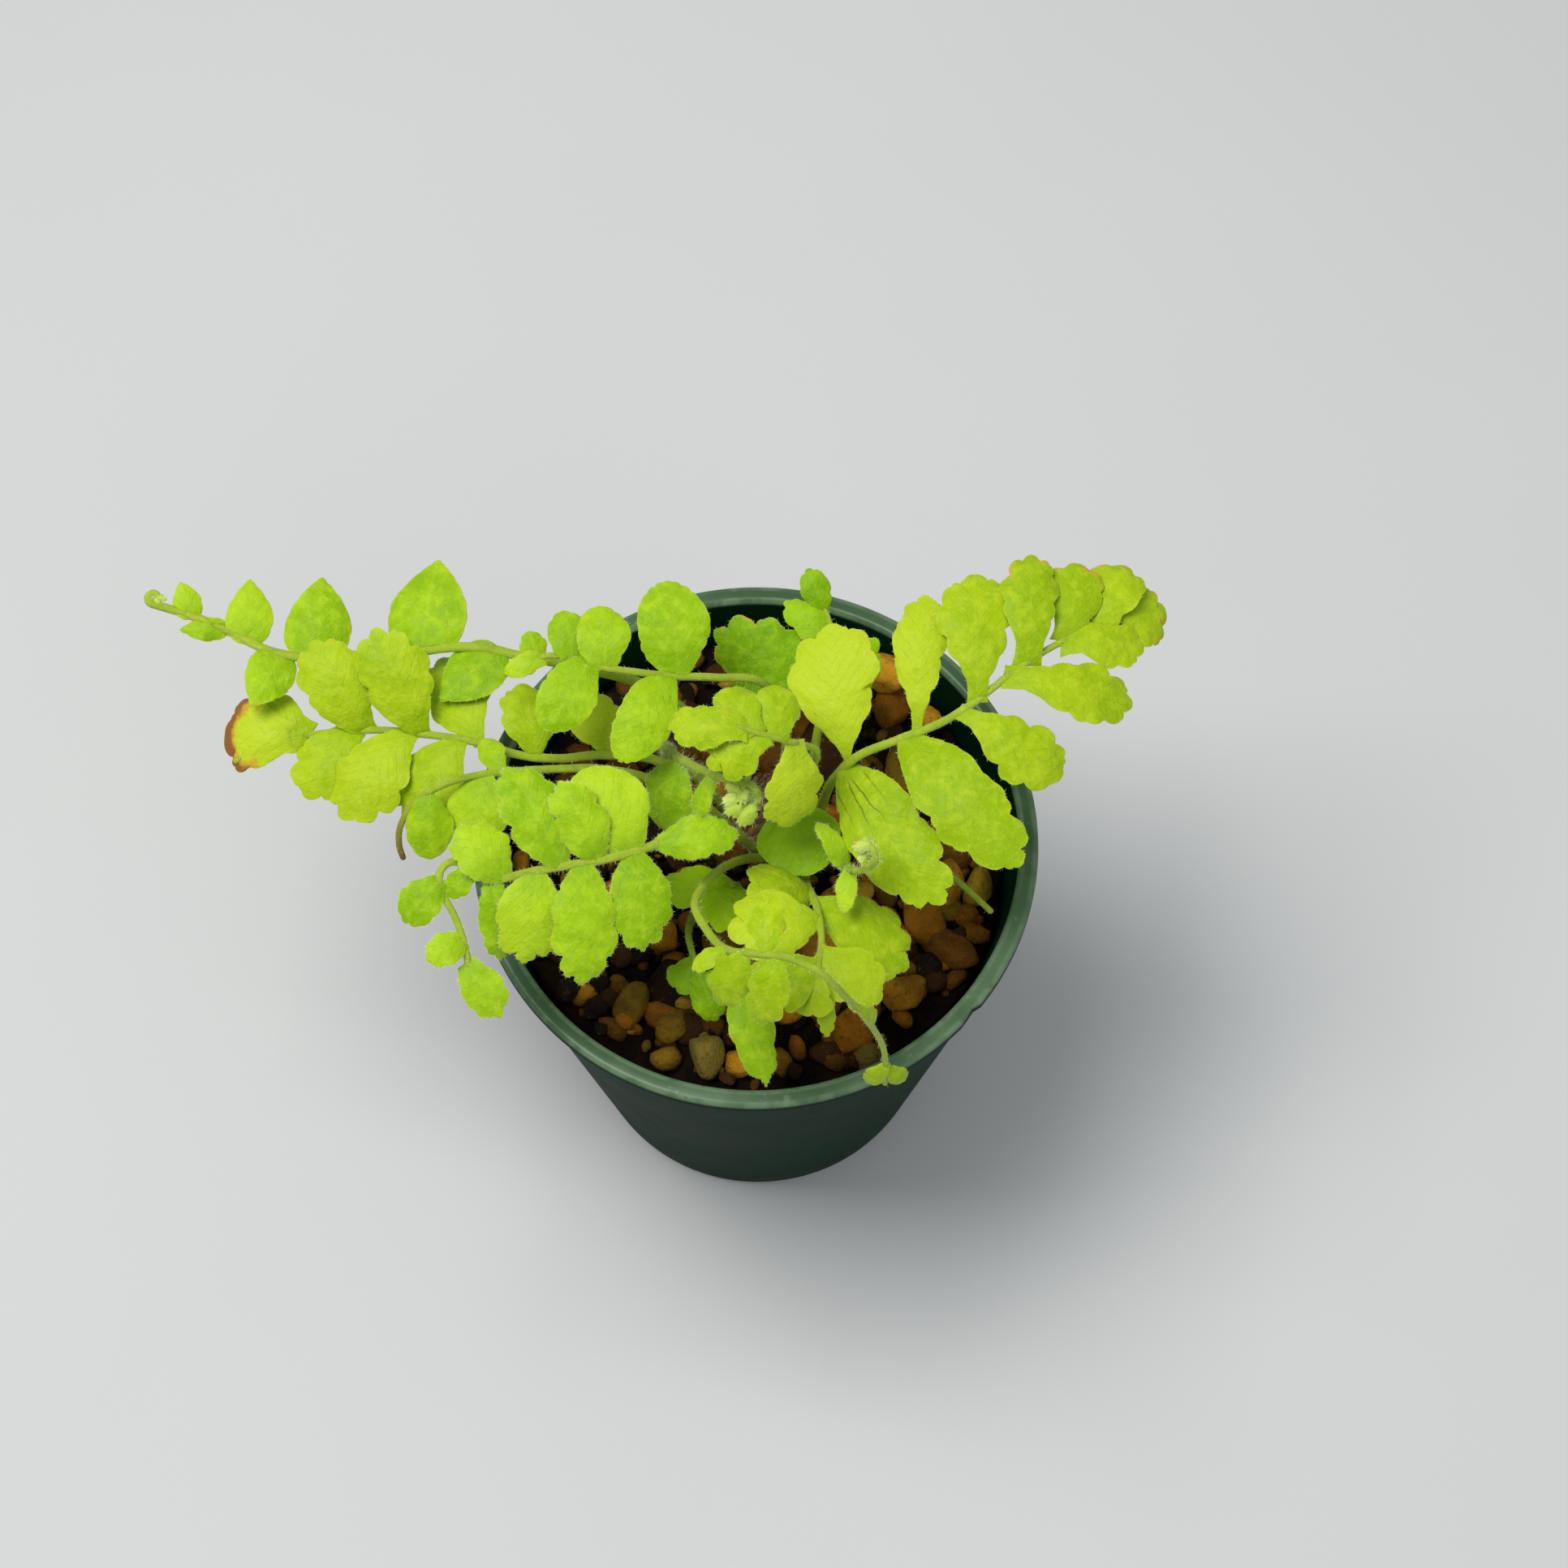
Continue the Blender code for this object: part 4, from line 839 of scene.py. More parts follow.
def stem_tube(line, radii, dry=0.0):
    """A stem as rings carried along its line, with a shallow groove on its upper side.

    Ring directions are turned along with the line: each is the last one less its part along the
    new direction. The radius at angle a from the upper side is r (1 - g exp(-(a / 0.5)^2)) with g
    the GROOVE_DEPTH. Three shrinking rings round the end. The last sixth is marked by dry.
    """
    ahead = np.gradient(line, axis=0)
    ahead /= np.linalg.norm(ahead, axis=1, keepdims=True)
    side = np.cross((0.0, 0.0, 1.0), ahead[len(line) // 2])
    side = side / np.linalg.norm(side)
    sides = []
    for direction in ahead:
        side = side - direction * (side @ direction)
        side = side / np.linalg.norm(side)
        sides.append(side)
    sides = np.array(sides)
    ups = np.cross(ahead, sides)
    angle = np.linspace(-math.pi, math.pi, STEM_SIDES + 1)[:-1]
    grooved = 1 - GROOVE_DEPTH * np.exp(-(angle / 0.5) ** 2)
    line = np.concatenate([line, line[-1] + ahead[-1] * radii[-1] * np.array([0.3, 0.6, 0.8])[:, None]])
    radii = np.concatenate([radii, radii[-1] * np.array([0.9, 0.68, 0.315])])
    ups, sides = (np.concatenate([axis, np.repeat(axis[-1:], 3, 0)]) for axis in (ups, sides))
    ring = (ups[:, None] * np.cos(angle)[None, :, None] + sides[:, None] * np.sin(angle)[None, :, None])
    points = line[:, None] + ring * (radii[:, None] * grooved)[..., None]
    run = np.concatenate([[0.0], np.cumsum(np.linalg.norm(np.diff(line, axis=0), axis=1))])
    uv = np.stack(np.broadcast_arrays(run[:, None] / 10, np.abs(angle)[None] / 10), -1).reshape(-1, 2)
    quads = grid_faces(len(line), STEM_SIDES, True)[:, ::-1]
    last = (len(line) - 1) * STEM_SIDES
    caps = [list(range(STEM_SIDES)), list(range(last + STEM_SIDES - 1, last - 1, -1))]
    skin = (points[:-3].reshape(-1, 3), (ring[:-3] + 0.35 * ahead[:, None]).reshape(-1, 3))
    browned = np.repeat(dry * np.clip(run / run[-1] * 6 - 5, 0, 1), STEM_SIDES)
    middling = np.full_like(browned, 0.5)
    return {"points": points.reshape(-1, 3), "faces": quads, "caps": caps, "uv": uv, "slot": 1,
            "marks": np.stack([middling, middling, browned, middling], 1), "skin": skin}


def hairs(roots, outward, count, length, thickness, dice):
    """Fine white hairs as thin three-sided spikes, each bent once.

    A root is picked at random. The spike runs along outward with a random lean, and a base ring, a
    ring at 0.55 of its length and its point are joined by faces. A hair that would stand out of the
    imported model's box is left out.
    """
    pick = dice.integers(0, len(roots), count)
    axis = outward[pick] + 0.45 * dice.normal(size=(count, 3))
    axis /= np.linalg.norm(axis, axis=1, keepdims=True)
    lean = np.cross(axis, dice.normal(size=(count, 3)))
    lean /= np.linalg.norm(lean, axis=1, keepdims=True)
    other = np.cross(axis, lean)
    reach = (length * (0.5 + dice.random(count)))[:, None]
    corner = np.arange(3) * 2 * math.pi / 3
    ring = lean[:, None] * np.cos(corner)[None, :, None] + other[:, None] * np.sin(corner)[None, :, None]
    root = roots[pick] - axis * 0.04
    base = root[:, None] + ring * thickness / 2
    middle = (root + axis * reach * 0.55 + lean * reach * 0.06)[:, None] + ring * thickness * 0.34
    tip = (root + axis * reach + lean * reach * 0.25)[:, None]
    points = np.concatenate([base, middle, tip], 1)
    fits = ((points > box_low) & (points < box_high)).all((1, 2))
    points = points[fits]
    low, high = np.array([0, 1, 2]), np.array([1, 2, 0])
    walls = np.stack([low, high, high + 3, low + 3], 1)
    starts = (np.arange(len(points)) * 7)[:, None, None]
    quads = (walls[None] + starts).reshape(-1, 4)
    ends = (np.array([[3, 4, 6], [4, 5, 6], [5, 3, 6], [2, 1, 0]])[None] + starts).reshape(-1, 3)
    return points.reshape(-1, 3), quads.tolist() + ends.tolist()


box_low, box_high = (np.array(corner) / MM for corner in cad_box)

leaf_group = bpy.data.node_groups.new("leaf_surface", "ShaderNodeTree")
for label in ("Main", "Light", "Deep"):
    leaf_group.interface.new_socket(label, in_out="INPUT", socket_type="NodeSocketColor")
for label, kind in (("Colour", "Color"), ("Roughness", "Float"), ("Height", "Float")):
    leaf_group.interface.new_socket(label, in_out="OUTPUT", socket_type="NodeSocket" + kind)
tree = leaf_group
given = tree.nodes.new("NodeGroupInput")
main, light, deep = given.outputs[0], given.outputs[1], given.outputs[2]
where = add_node(tree, "ShaderNodeTexCoord").outputs["Object"]
grain = add_node(tree, "ShaderNodeUVMap", uv_map="grain").outputs[0]
spread = add_node(tree, "ShaderNodeSeparateXYZ", {"Vector": grain})
(tone, margin, burn), marks = marked(tree)
blotch = noise(tree, where, 260.0, 4.0, 0.6)
pucker = noise(tree, where, 420.0, 2.0, 0.5)
lumps = noise(tree, where, 700.0, 3.0, 0.55)
cells = noise(tree, where, 2600.0, 2.0, 0.6)
side = maths(tree, "MULTIPLY", spread.outputs["Y"], 10.0)
out = maths(tree, "MAXIMUM", side, maths(tree, "MULTIPLY", side, -1.0))
run = maths(tree, "MULTIPLY", spread.outputs["X"], 10.0)
slant = maths(tree, "SUBTRACT", run, maths(tree, "MULTIPLY", out, 1.15))
slant = maths(tree, "ADD", slant, maths(tree, "MULTIPLY", lumps, 0.9))
vein = ramped(tree, maths(tree, "PINGPONG", slant, 0.75), 0.14, 0.02)
vein = maths(tree, "MULTIPLY", vein, ramped(tree, margin, 0.95, 0.6))
rib = maths(tree, "MULTIPLY", ramped(tree, out, 0.30, 0.04), ramped(tree, margin, 0.5, 0.1), 0.14)
# Painted shade: each leaflet darkens towards its base by the stalk and towards its rib.
shaded = maths(tree, "MULTIPLY", ramped(tree, run, 4.5, 0.3), ramped(tree, margin, 1.0, 0.35, 0.15, 0.6))
patch = maths(tree, "ADD", burn, maths(tree, "MULTIPLY", maths(tree, "SUBTRACT", lumps, 0.5), 0.9))
patch = maths(tree, "MULTIPLY", patch, ramped(tree, burn, 0.02, 0.12))
bent = maths(tree, "ADD", out, maths(tree, "MULTIPLY", maths(tree, "SUBTRACT", pucker, 0.5), 0.7))
tear = maths(tree, "PINGPONG", maths(tree, "SUBTRACT", bent, maths(tree, "MULTIPLY", run, 0.10)), 0.8)
tear = maths(tree, "MULTIPLY", ramped(tree, tear, 0.13, 0.03), marks.outputs["Alpha"],
             ramped(tree, run, 2.0, 3.5), ramped(tree, run, 10.5, 6.5), ramped(tree, out, 2.6, 1.8), 0.8)
feed(tree, tree.nodes.new("NodeGroupOutput"), {
    "Colour": layered(
        tree, main,
        (ramped(tree, blotch, 0.38, 0.64, 0.0, 0.65), deep),
        (ramped(tree, tone, 0.5, 1.0), light),
        (ramped(tree, tone, 0.5, 0.0), deep),
        (ramped(tree, lumps, 0.42, 0.72, 0.0, 0.5), light),
        # painted shade at the base
        (shaded, deep),
        (maths(tree, "MULTIPLY", vein, 0.06), light),
        (rib, (0.50, 0.66, 0.04)),
        (ramped(tree, margin, 0.93, 1.0, 0.0, 0.30), (0.58, 0.70, 0.06)),
        (ramped(tree, cells, 0.62, 0.72, 0.0, 0.18), (0.75, 0.84, 0.35)),
        (ramped(tree, patch, 0.16, 0.34, 0.0, 0.85), (0.62, 0.33, 0.035)),
        (ramped(tree, patch, 0.34, 0.62, 0.0, 0.9), (0.24, 0.085, 0.028)),
        (tear, (0.15, 0.10, 0.02))),
    "Roughness": maths(tree, "ADD", ramped(tree, lumps, 0.3, 0.7, 0.40, 0.56),
                       maths(tree, "MULTIPLY", burn, 0.2)),
    "Height": maths(tree, "ADD", maths(tree, "MULTIPLY", cells, 0.30), maths(tree, "MULTIPLY", vein, -0.09),
                    maths(tree, "MULTIPLY", lumps, 0.70), maths(tree, "MULTIPLY", pucker, 1.1))})


def leaf_material(name, main, light, deep):
    """Leaf tissue: a thin juicy skin that lets some light through."""
    made, tree, shader, _ = new_material(name)
    skin = add_node(tree, "ShaderNodeGroup", node_tree=leaf_group)
    feed(tree, skin, {"Main": (*main, 1.0), "Light": (*light, 1.0), "Deep": (*deep, 1.0)})
    feed(tree, shader, {
        "Base Color": skin.outputs["Colour"],
        "Roughness": skin.outputs["Roughness"],
        "Normal": bumped(tree, skin.outputs["Height"], 0.00030),
        "Subsurface Weight": 0.22,
        "Subsurface Radius": (1.0, 1.0, 0.15),
        "Subsurface Scale": 0.0008,
        "Specular IOR Level": 0.14})
    return made


leaf_finish = {name: leaf_material(name, *tints) for name, tints in {
    "leaf_green": ((0.36, 0.58, 0.006), (0.50, 0.70, 0.020), (0.22, 0.42, 0.002)),
    "leaf_yellow": ((0.40, 0.56, 0.006), (0.53, 0.67, 0.022), (0.28, 0.46, 0.002)),
    # The deep finish is a darker copy of the same leaf for the low fronds under the others: painted shade.
    "leaf_deep": ((0.27, 0.51, 0.002), (0.38, 0.63, 0.006), (0.18, 0.38, 0.001))}.items()}
young_finish = leaf_material("unrolling_leaf", (0.56, 0.70, 0.12), (0.72, 0.82, 0.26), (0.42, 0.60, 0.04))

stalk, tree, shader, where = new_material("stalk_skin")
drawn = scaled(tree, add_node(tree, "ShaderNodeUVMap", uv_map="grain").outputs[0], 6.0, 60.0, 1.0)
streak = noise(tree, drawn, 3.0, 3.0)
cloud = noise(tree, where, 240.0, 3.0)
dried = maths(tree, "MULTIPLY", marked(tree)[0][2], 0.9)
feed(tree, shader, {
    "Base Color": layered(
        tree, (0.40, 0.60, 0.016),
        (ramped(tree, streak, 0.35, 0.65), (0.58, 0.73, 0.05)),
        (ramped(tree, cloud, 0.45, 0.75, 0.0, 0.5), (0.24, 0.40, 0.012)),
        (ramped(tree, height_of(tree, where), (POT_HEIGHT + 1.0) * MM, (SOIL_TOP + 0.4) * MM, 0.0, 0.7),
         (0.15, 0.14, 0.015)),
        (dried, (0.20, 0.075, 0.020))),
    "Roughness": ramped(tree, cloud, 0.3, 0.7, 0.38, 0.55),
    "Subsurface Weight": 0.15,
    "Subsurface Radius": (1.0, 1.0, 0.15),
    "Subsurface Scale": 0.0006,
    "Normal": bumped(tree, maths(tree, "ADD", streak, maths(tree, "MULTIPLY", cloud, 0.4)), 0.00012)})

down, tree, shader, where = new_material("white_down")
feed(tree, shader, {
    "Base Color": mixed(tree, noise(tree, where, 900.0), (0.68, 0.80, 0.34), (0.90, 0.95, 0.68)),
    "Roughness": 0.45})


def frond(name, route, rows, shape, slot, stem=(0.7, 0.36), coil=None, buds=(), dry=0.0,
          down_density=4.0, down_length=0.42):
    """A stem through given points with its leaflets, as one piece, and its down as another.

    A row is (share of the stem's length, swing from the stem's direction with plus to its left,
    lift above the stem's upper side, length, greatest width), in degrees and mm. Buds are rows of
    small folded leaflets on the line with its coil.
    """
    exact = smooth_route(route, 160)
    length = np.linalg.norm(np.diff(exact, axis=0), axis=1).sum()
    line = smooth_route(route, round(length * 2.2))
    straight = len(line)
    if coil:
        line = curl(line, *coil)
    taper = np.linspace(0.0, 1.0, len(line))
    radii = stem[0] + (stem[1] - stem[0]) * taper ** 0.8
    run = np.arange(len(line)) / (straight - 1)
    for share, _, _, long, _ in rows:
        radii = radii * (1 + 0.10 * min(1.0, long / 8) * np.exp(-((run - share) * length / 0.7) ** 2))
    parts = [stem_tube(line, radii * 0.97, dry)]
    parts += [leaflet(exact, row, shape, index) for index, row in enumerate(rows)]
    parts += [leaflet(line, row, FOLDED, 40 + index) for index, row in enumerate(buds)]
    points = np.concatenate([part["points"] for part in parts])
    starts = np.cumsum([0] + [len(part["points"]) for part in parts])
    faces, shares = [], []
    for part, start in zip(parts, starts):
        mine = (part["faces"] + start).tolist() + [[corner + start for corner in cap] for cap in part["caps"]]
        faces += mine
        shares += [part["slot"]] * len(mine)
    short = name.replace("frond_", "").replace("shoot_", "")
    leaves = add_piece(
        "leaves_" + short, points, faces, [leaf_finish[slot], stalk, young_finish], shares,
        uv=np.concatenate([part["uv"] for part in parts]),
        marks=np.concatenate([part["marks"] for part in parts]))
    used = bmesh.new()
    used.from_mesh(leaves.data)
    bmesh.ops.delete(used, geom=[corner for corner in used.verts if not corner.link_faces], context="VERTS")
    bmesh.ops.recalc_face_normals(used, faces=used.faces)
    used.to_mesh(leaves.data)
    used.free()
    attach(leaves, "root")
    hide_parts(name)
    dice = np.random.default_rng(len(name) * 31 + len(rows))
    stem_length = np.linalg.norm(np.diff(line, axis=0), axis=1).sum()
    fuzz = [hairs(*parts[0]["skin"], round(stem_length * down_density), down_length, HAIR_THICKNESS, dice)]
    for part, (_, _, _, long, wide) in zip(parts[1:], list(rows) + list(buds)):
        fuzz.append(hairs(*part["rim"], round(long * down_density * 1.1), down_length * 0.7,
                          HAIR_THICKNESS, dice))
        fuzz.append(hairs(*part["skin"], round(long * wide * down_density * 0.12), down_length * 0.4,
                          SKIN_HAIR_THICKNESS, dice))
    starts = np.cumsum([0] + [len(spikes) for spikes, _ in fuzz])
    faces = [[corner + start for corner in face] for (_, mine), start in zip(fuzz, starts) for face in mine]
    wool = add_piece("down_" + short, np.concatenate([spikes for spikes, _ in fuzz]), faces, [down],
                     smooth=False)
    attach(wool, "root")
    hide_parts(name)


# Long frond at the far left: pointed oval leaflets and a coiled tip
frond("frond_far_left", [
    (-2.0, 7.4, SEAT), (-5.5, 12.0, 67), (-12.5, 15.2, 73.6), (-21.5, 16.3, 77), (-27, 16.8, 78.5),
    (-34, 17.9, 78.6), (-46.3, 16.5, 78), (-54.7, 17.3, 78), (-60.1, 19.7, 78.4), (-64.5, 21.5, 79),
    (-69.6, 23.0, 79.5)],
    [(0.49, 55, -4, 9.0, 7.2), (0.60, -106, 5, 11.6, 9.4),
     (0.75, -86, 5, 10.4, 7.7), (0.80, 80, 6, 7.7, 5.8), (0.85, -60, 12, 7.5, 5.5),
     (0.89, 26, -1, 5.3, 2.8), (0.94, -50, 11, 4.4, 3.4)],
    {"fat": 0.37, "base": 0.5, "tip": 0.9, "lobes": 0, "ear": 0.05, "bend": 0.0, "arch": 0.05, "droop": 0.05,
     "tooth": 0.10, "teeth": 0.7},
    "leaf_green", stem=(0.7, 0.5), coil=(0.77, 0.8, (-1, 0)),
    buds=[(0.975, 70, 30, 1.1, 0.9), (0.985, -70, 20, 1.1, 0.9), (0.993, 60, 40, 1.0, 0.8)])

# Frond at the upper left, nearer the camera: round leaflets
frond("frond_upper_left", [
    (2.9, 10.3, SEAT), (3.6, 12.0, 69), (0.9, 12.9, 79.5), (-4.6, 12, 83), (-9.2, 11.7, 84),
    (-13.8, 11.8, 85), (-16.9, 12.1, 85.5), (-20, 13.1, 85.5), (-22.5, 13.6, 85.5), (-25.2, 13.4, 85)],
    [(0.67, -85, 21, 11.0, 8.4), (0.69, 67, -5, 11.5, 6.6), (0.83, -75, 13, 7.3, 6.2),
     (0.87, 83, -3, 9.2, 6.6), (0.91, -70, 15, 5.6, 4.8), (0.98, 20, 3, 4.5, 2.5),
     (0.99, -88, 22, 3.2, 3.0)],
    {"fat": 0.54, "base": 0.54, "lobes": 0, "ear": 0.15, "cup": 0.06, "foot": 0.8,
     "tooth": 0.14, "teeth": 0.8}, "leaf_green")

# Low frond behind, half in shade
frond("frond_back", [
    (6.2, 8.6, SEAT), (7.2, 12.5, 66), (8.4, 17, 71), (9.0, 21.0, 74), (7.6, 25.5, 75.5)],
    [(0.54, -32, -8, 9.5, 6.3), (0.60, 77, 7, 14.6, 10.0), (0.80, 50, -3, 7.5, 4.3),
     (0.95, 8, 14, 5.2, 3.7)],
    {"fat": 0.55, "lobes": 3, "scorch": {1: 0.25}}, "leaf_deep")

# Broad yellow frond to the left
frond("frond_left_broad", [
    (-2.0, 4.6, SEAT), (-6.5, 6.6, 66.5), (-12.3, 7.4, 70.6), (-17.8, 6.8, 73), (-22.4, 5.9, 74),
    (-27, 5.9, 75), (-31.6, 7, 76), (-37.3, 8, 76), (-42.9, 8.8, 75.5), (-49.6, 8.9, 74.5),
    (-55.2, 7.9, 74), (-59.8, 6, 73)],
    [(0.47, -77, 19, 8.7, 7.2), (0.57, -57, -4, 12.6, 8.4), (0.60, 65, -14, 11.2, 8.4),
     (0.67, -58, 40, 13.2, 8.6), (0.69, 63, -5, 12.6, 8.9), (0.77, -62, 40, 11.8, 8.4),
     (0.79, 60, -2, 9.4, 8.2), (0.87, -40, 4, 9.0, 6.4), (0.88, -14, 4, 9.0, 8.8),
     (0.34, -72, 10, 8.2, 6.6)],
    {"fat": 0.60, "tip": 0.45, "lobes": 3, "cut": 0.09, "foot": 2.1, "tone": 0.55,
     "scorch": {7: 0.6, 8: 1.0, 5: 0.2}, "each": {8: {"fat": 0.7, "tip": 0.34}}}, "leaf_yellow")

# Frond that curls down at the left behind the front one
frond("frond_left_curled", [
    (-0.9, 1.9, SEAT), (-5.5, 2.8, 66.5), (-12.2, 4.2, 72), (-17.7, 4.0, 75.4), (-22.2, 3.3, 77),
    (-26.8, 2.6, 78), (-31.3, 1.9, 78.5), (-34.5, 1, 78.5), (-37.3, -0.2, 78), (-39.2, -1.6, 77),
    (-40.3, -3.6, 76), (-40.4, -5.3, 75), (-40, -6.4, 74)],
    [(0.62, 87, -25, 5.6, 5.6), (0.68, -74, -8, 5.4, 3.2), (0.71, 69, -21, 8.1, 7.5),
     (0.84, 63, -19, 7.6, 5.6)],
    {"fat": 0.55, "lobes": 0, "cup": 0.14, "tooth": 0.12}, "leaf_green", dry=1.0)

# Front left frond, the sharpest in view, with a tip that hooks round and hangs
frond("frond_front_left", [
    (0.9, 0.9, SEAT), (-2.4, -2.2, 71), (-5.9, -5.6, 79), (-8.6, -7.2, 82), (-11.7, -9.2, 84),
    (-14.3, -10.5, 85), (-17, -11.4, 85.5), (-20.5, -12.2, 86), (-25, -13.1, 86), (-28.1, -13.8, 86),
    (-30.8, -13.1, 86), (-33.1, -11.8, 86), (-34.5, -12.4, 85.5), (-34.8, -13.7, 85),
    (-34.2, -15.3, 84), (-33.1, -17.2, 83), (-32.2, -19.5, 82), (-31.7, -21.7, 80.5),
    (-32.1, -23.7, 79.5)],
    [(0.45, 157, 26, 9.3, 5.2), (0.49, 79, -19, 11.0, 7.4), (0.487, -76, 20, 10.8, 9.2),
     (0.55, -73, 31, 9.8, 6.4), (0.575, 84, -20, 13.4, 7.8), (0.61, -74, 24, 12.5, 7.6),
     (0.65, 74, -26, 10.4, 8.2), (0.70, -54, 24, 7.6, 6.8), (0.72, 112, -35, 9.6, 4.3),
     (0.75, 62, -21, 4.3, 3.1), (0.83, -48, 5, 6.0, 4.9), (0.93, -84, 12, 4.6, 3.8),
     (0.97, 40, 10, 6.9, 5.0)],
    {"fat": 0.56, "base": 0.56, "lobes": 3, "cut": 0.09, "cup": 0.08, "foot": 0.7, "tooth": 0.2,
     "teeth": 0.75, "each": {2: {"lobes": 0, "tooth": 0.08}}}, "leaf_green",
    coil=(0.9, 0.6, (1, 0)), down_density=20.0)

# Young frond that stands up in the middle, its leaflets still folded
frond("frond_young", [
    (4.0, 7.0, SEAT), (5.4, 4.5, 70), (6.8, 3.0, 80), (6.6, 1.8, 86), (3.8, 1.0, 90), (0.6, 1.0, 92),
    (-1.8, 1.4, 93)],
    [(0.82, 116, -32, 10.0, 7.8), (0.88, -84, 16, 6.0, 5.4), (0.92, 40, -30, 7.2, 6.6),
     (0.95, -52, -10, 6.4, 5.2), (0.98, 12, -18, 8.4, 5.4)],
    {"fat": 0.62, "tip": 0.45, "lobes": 2, "cut": 0.12, "cup": 0.12, "foot": 1.2, "tooth": 0.18},
    "leaf_yellow", down_density=9.0)

# Woolly crozier that arches over the middle
frond("frond_woolly", [
    (-9.4, 11.6, SEAT), (-10.4, 10.0, 67), (-10.2, 7.2, 74), (-8.6, 4.2, 78), (-6.2, 1.3, 81.6),
    (-3.6, -1.2, 84.8), (-0.9, -2.4, 86.2)],
    [(0.65, -105, -43, 8.8, 7.1), (0.86, -97, -32, 5.8, 2.6)],
    {"fat": 0.56, "lobes": 0, "tooth": 0.12}, "leaf_green", coil=(1.7, 1.05, (-0.5, -0.85)),
    buds=[(0.79, 70, 25, 2.6, 2.1), (0.81, -65, 25, 2.2, 1.9), (0.835, 70, 30, 2.5, 2.1),
          (0.86, -65, 30, 2.1, 1.9), (0.88, 70, 35, 2.2, 1.9), (0.90, -65, 35, 1.9, 1.7),
          (0.92, 70, 40, 2.0, 1.8), (0.94, -65, 40, 1.7, 1.5), (0.96, 75, 45, 1.6, 1.4),
          (0.98, -70, 45, 1.4, 1.2)],
    down_density=24.0, down_length=0.75)

# Large frond to the right: wedge leaflets with lobed ends
frond("frond_right_broad", [
    (7.3, 5.6, SEAT), (8.2, 4.2, 68), (9.4, 3.2, 75.5), (11.9, 3.7, 80), (16.5, 4.4, 83), (21, 5.5, 85),
    (24.6, 7.5, 86), (29.2, 11.1, 86.5), (33.9, 14.6, 86), (39.7, 18.1, 84.5), (41.6, 18.9, 84)],
    [(0.35, -77, -9, 20.2, 9.8), (0.37, 67, 12, 15.9, 11.0), (0.50, -66, -7, 20.0, 9.2),
     (0.53, 70, 16, 15.6, 6.4), (0.62, -67, -14, 13.6, 8.0), (0.66, 56, 14, 14.5, 9.0),
     (0.73, -50, -9, 14.9, 7.4), (0.78, 52, 21, 12.5, 7.0), (0.87, -36, 3, 9.4, 6.0),
     (0.88, 56, 22, 9.0, 7.4), (0.94, 38, 18, 8.6, 7.4), (0.97, -14, 0, 7.8, 7.4)],
    {"fat": 0.66, "base": 0.9, "tip": 0.42, "lobes": 3, "cut": 0.09, "cup": 0.09, "foot": 2.3, "tooth": 0.2,
     "each": {0: {"fat": 0.56, "base": 0.55}, 2: {"fat": 0.56, "base": 0.55}},
     "teeth": 0.5, "scorch": {7: 0.25, 9: 0.3, 10: 0.25, 11: 0.3}, "torn": (0,)}, "leaf_yellow")

# Broad yellow frond at the front, lobed
frond("frond_front_broad", [
    (4.9, 1.2, SEAT), (5.3, -3.5, 63.5), (6.0, -8, 69), (6.9, -12.1, 74), (7.5, -17.9, 77.5),
    (6.8, -22.7, 78.5)],
    [(0.51, -47, 23, 10.2, 8.4), (0.62, 65, -33, 13.0, 9.4), (0.75, -77, 16, 10.8, 9.4),
     (0.90, 66, -12, 8.6, 7.4), (0.95, -55, -1, 8.6, 8.0), (0.98, 30, -36, 7.4, 2.5),
     (0.99, -18, -24, 4.6, 6.2)],
    {"fat": 0.60, "tip": 0.42, "lobes": 3, "cut": 0.1, "cup": 0.1, "foot": 0.7, "tone": 0.5,
     "tooth": 0.22}, "leaf_yellow")

# Frond that arches up over the front one and hangs down past the lip
frond("frond_front_arching", [
    (2.9, 0.5, SEAT), (-0.9, -2.8, 65), (-4.4, -8.2, 74), (-6.6, -14.6, 81), (-5, -20.5, 87),
    (-2.9, -24.1, 91), (0.2, -25.7, 94), (3.6, -26.7, 95.5), (7.1, -28.2, 95), (9.9, -29.5, 91),
    (12.1, -30.1, 86), (14, -30.8, 80), (14.6, -31.6, 75), (14.6, -32.4, 71)],
    [(0.54, -118, 10, 4.4, 2.6), (0.58, -136, -20, 7.6, 5.6), (0.61, 101, 15, 6.9, 4.5),
     (0.63, -112, -36, 8.6, 5.2), (0.78, 14, -6, 8.6, 2.5), (0.95, -38, 0, 4.2, 2.6),
     (0.96, 38, 5, 4.0, 2.4)],
    {"fat": 0.58, "lobes": 2, "cut": 0.12, "cup": 0.12, "tone": 0.5, "tooth": 0.16}, "leaf_yellow",
    stem=(0.65, 0.34), down_density=5.0)

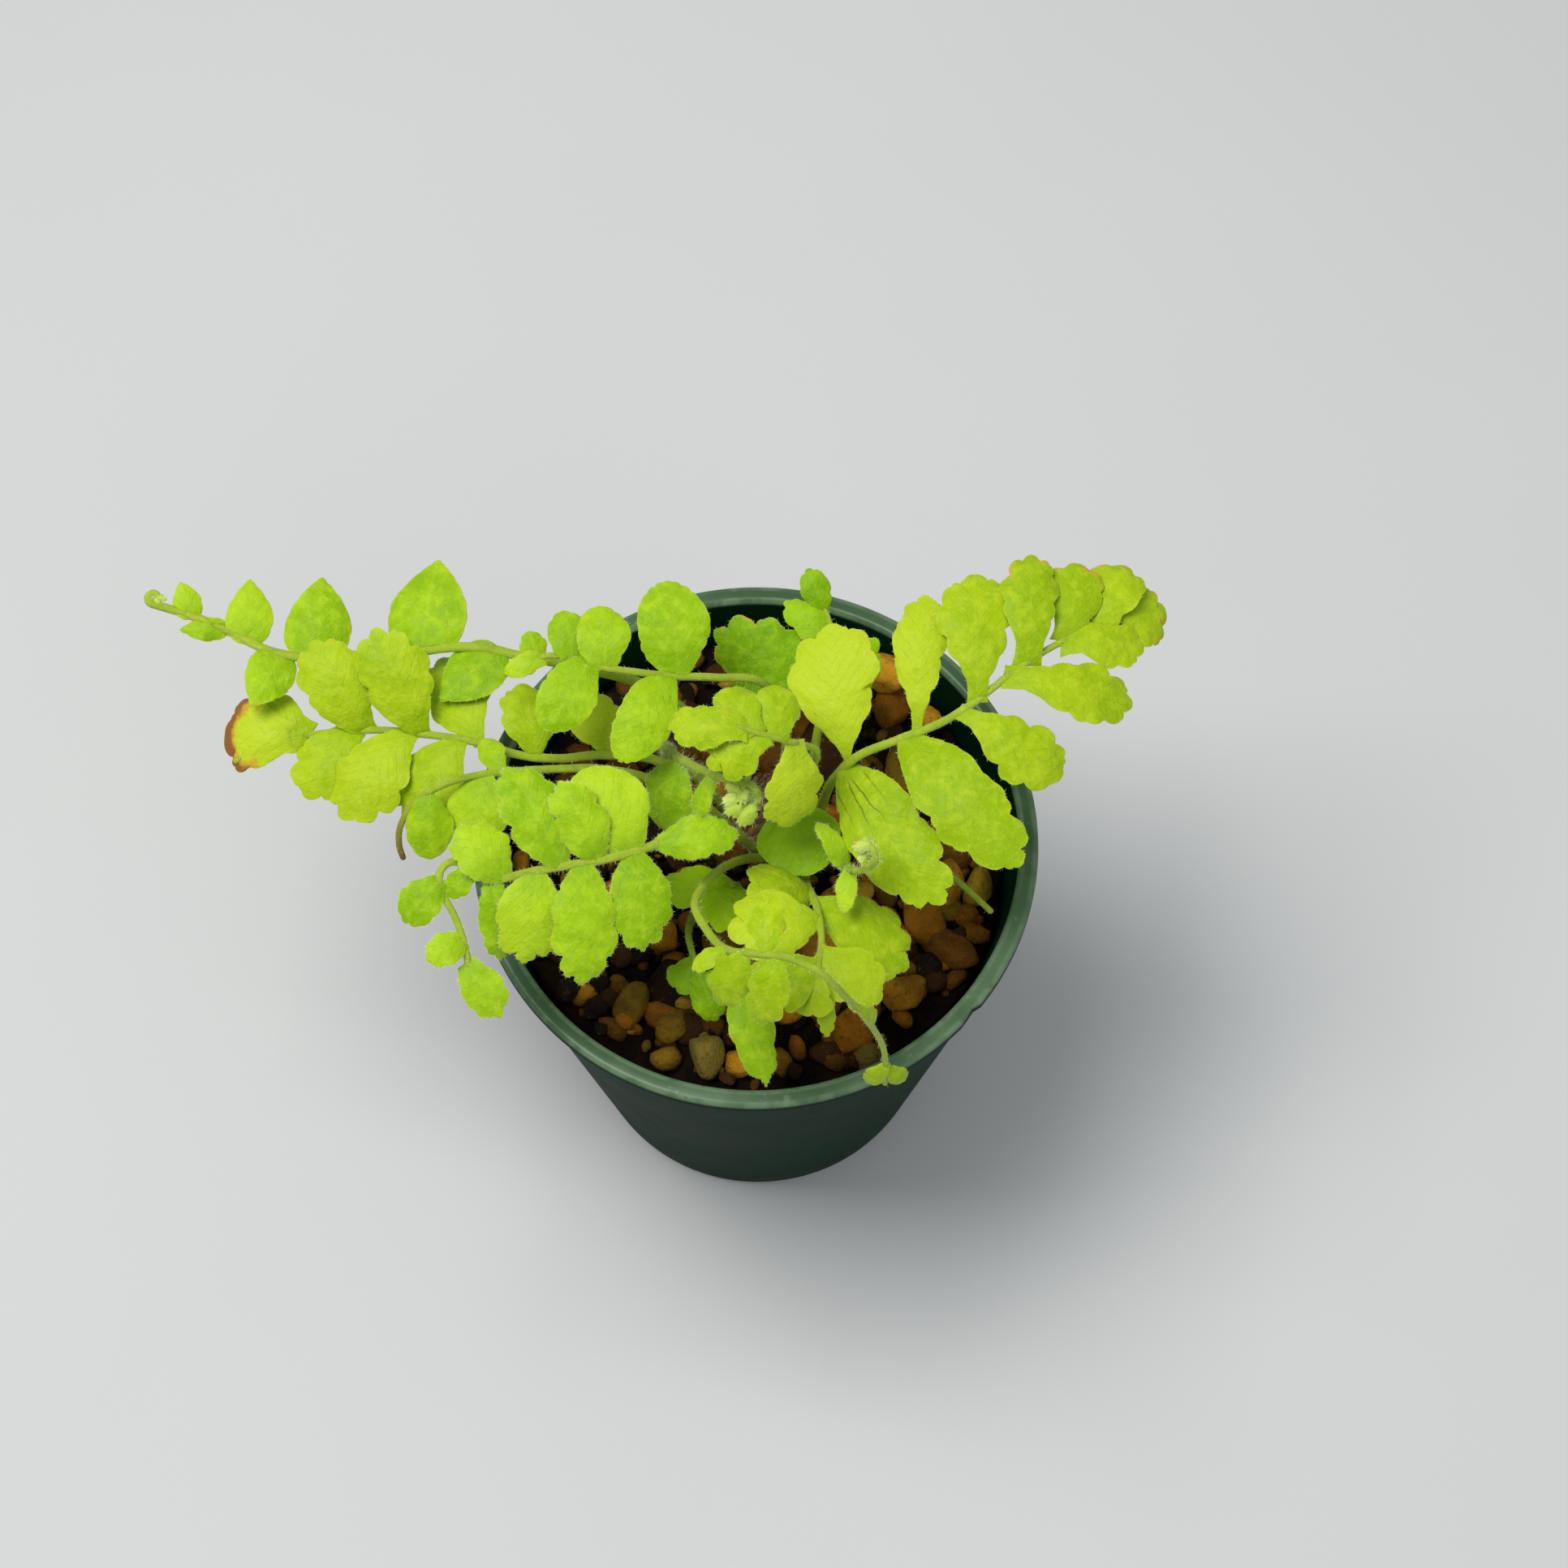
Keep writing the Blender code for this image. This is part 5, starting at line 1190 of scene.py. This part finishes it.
# Low frond at the front whose one long blade reaches the lip
frond("frond_front_low", [(1.0, -6.2, SEAT), (-0.4, -12, 65.5), (-1.3, -17, 68), (-1.6, -20.0, 68)],
      [(0.98, 17, -6, 11.8, 5.4)],
      {"fat": 0.5, "tip": 0.6, "lobes": 2, "cut": 0.1, "bend": -0.04, "tone": 0.0}, "leaf_green")

# Round low leaf in the middle
# Its tone of 1.0 gives it the lightest green of its finish, painted light against the shade of the fronds
# above it.
frond("frond_round", [(1.4, 4.0, SEAT), (2.4, 3.2, 64), (4.2, 1.3, 70)],
      [(0.97, -43, -40, 9.0, 9.9)],
      {"fat": 0.5, "base": 0.5, "lobes": 0, "cup": 0.05, "ear": 0.0, "tooth": 0.06, "tone": 1.0}, "leaf_deep")

# Low leaves in the shade of the front left frond
frond("frond_shade", [(-1.8, -4.2, SEAT), (-2.2, -5.6, 63.5), (-2.6, -7.4, 68)],
      [(0.84, 4, -30, 8.8, 8.2), (0.90, -60, -10, 9.2, 6.6)],
      {"fat": 0.55, "lobes": 2, "tone": 0.9}, "leaf_deep")

# Young coiled frond at the right of the middle
frond("frond_right_young", [
    (6.9, 2.9, SEAT), (8.6, -1.4, 64), (9.4, -5.6, 70.5), (10.7, -9.4, 78), (12.0, -11.4, 82.5),
    (13.2, -11.8, 85.5)],
    [(0.69, -38, 72, 6.3, 2.8), (0.74, -60, -50, 5.0, 2.5)],
    {"fat": 0.5, "lobes": 0, "tooth": 0.1}, "leaf_green", stem=(0.6, 0.36),
    coil=(1.3, 0.9, (0.6, 0.4)),
    buds=[(0.80, 70, 30, 1.9, 1.6), (0.84, -65, 30, 1.7, 1.4), (0.88, 70, 35, 1.7, 1.4),
          (0.92, -65, 40, 1.4, 1.2), (0.96, 70, 40, 1.2, 1.0)],
    down_density=18.0, down_length=0.5)

# Two small plantlets that come up through the grit by themselves
frond("frond_low_left", [(-7.3, -6.5, SEAT), (-7.7, -12.5, 65.5), (-6.6, -17.6, 67.5)],
      [(0.89, -40, -17, 4.4, 4.7), (0.97, 14, -36, 6.6, 4.2)],
      {"fat": 0.6, "lobes": 0}, "leaf_deep", stem=(0.55, 0.36))
frond("shoot_low_right", [(15.4, 2.6, SEAT), (18.4, -0.4, 62.8), (23.5, -5.3, 64), (27.2, -9.2, 64.5)],
      [], {"fat": 0.5}, "leaf_green", stem=(0.6, 0.36))
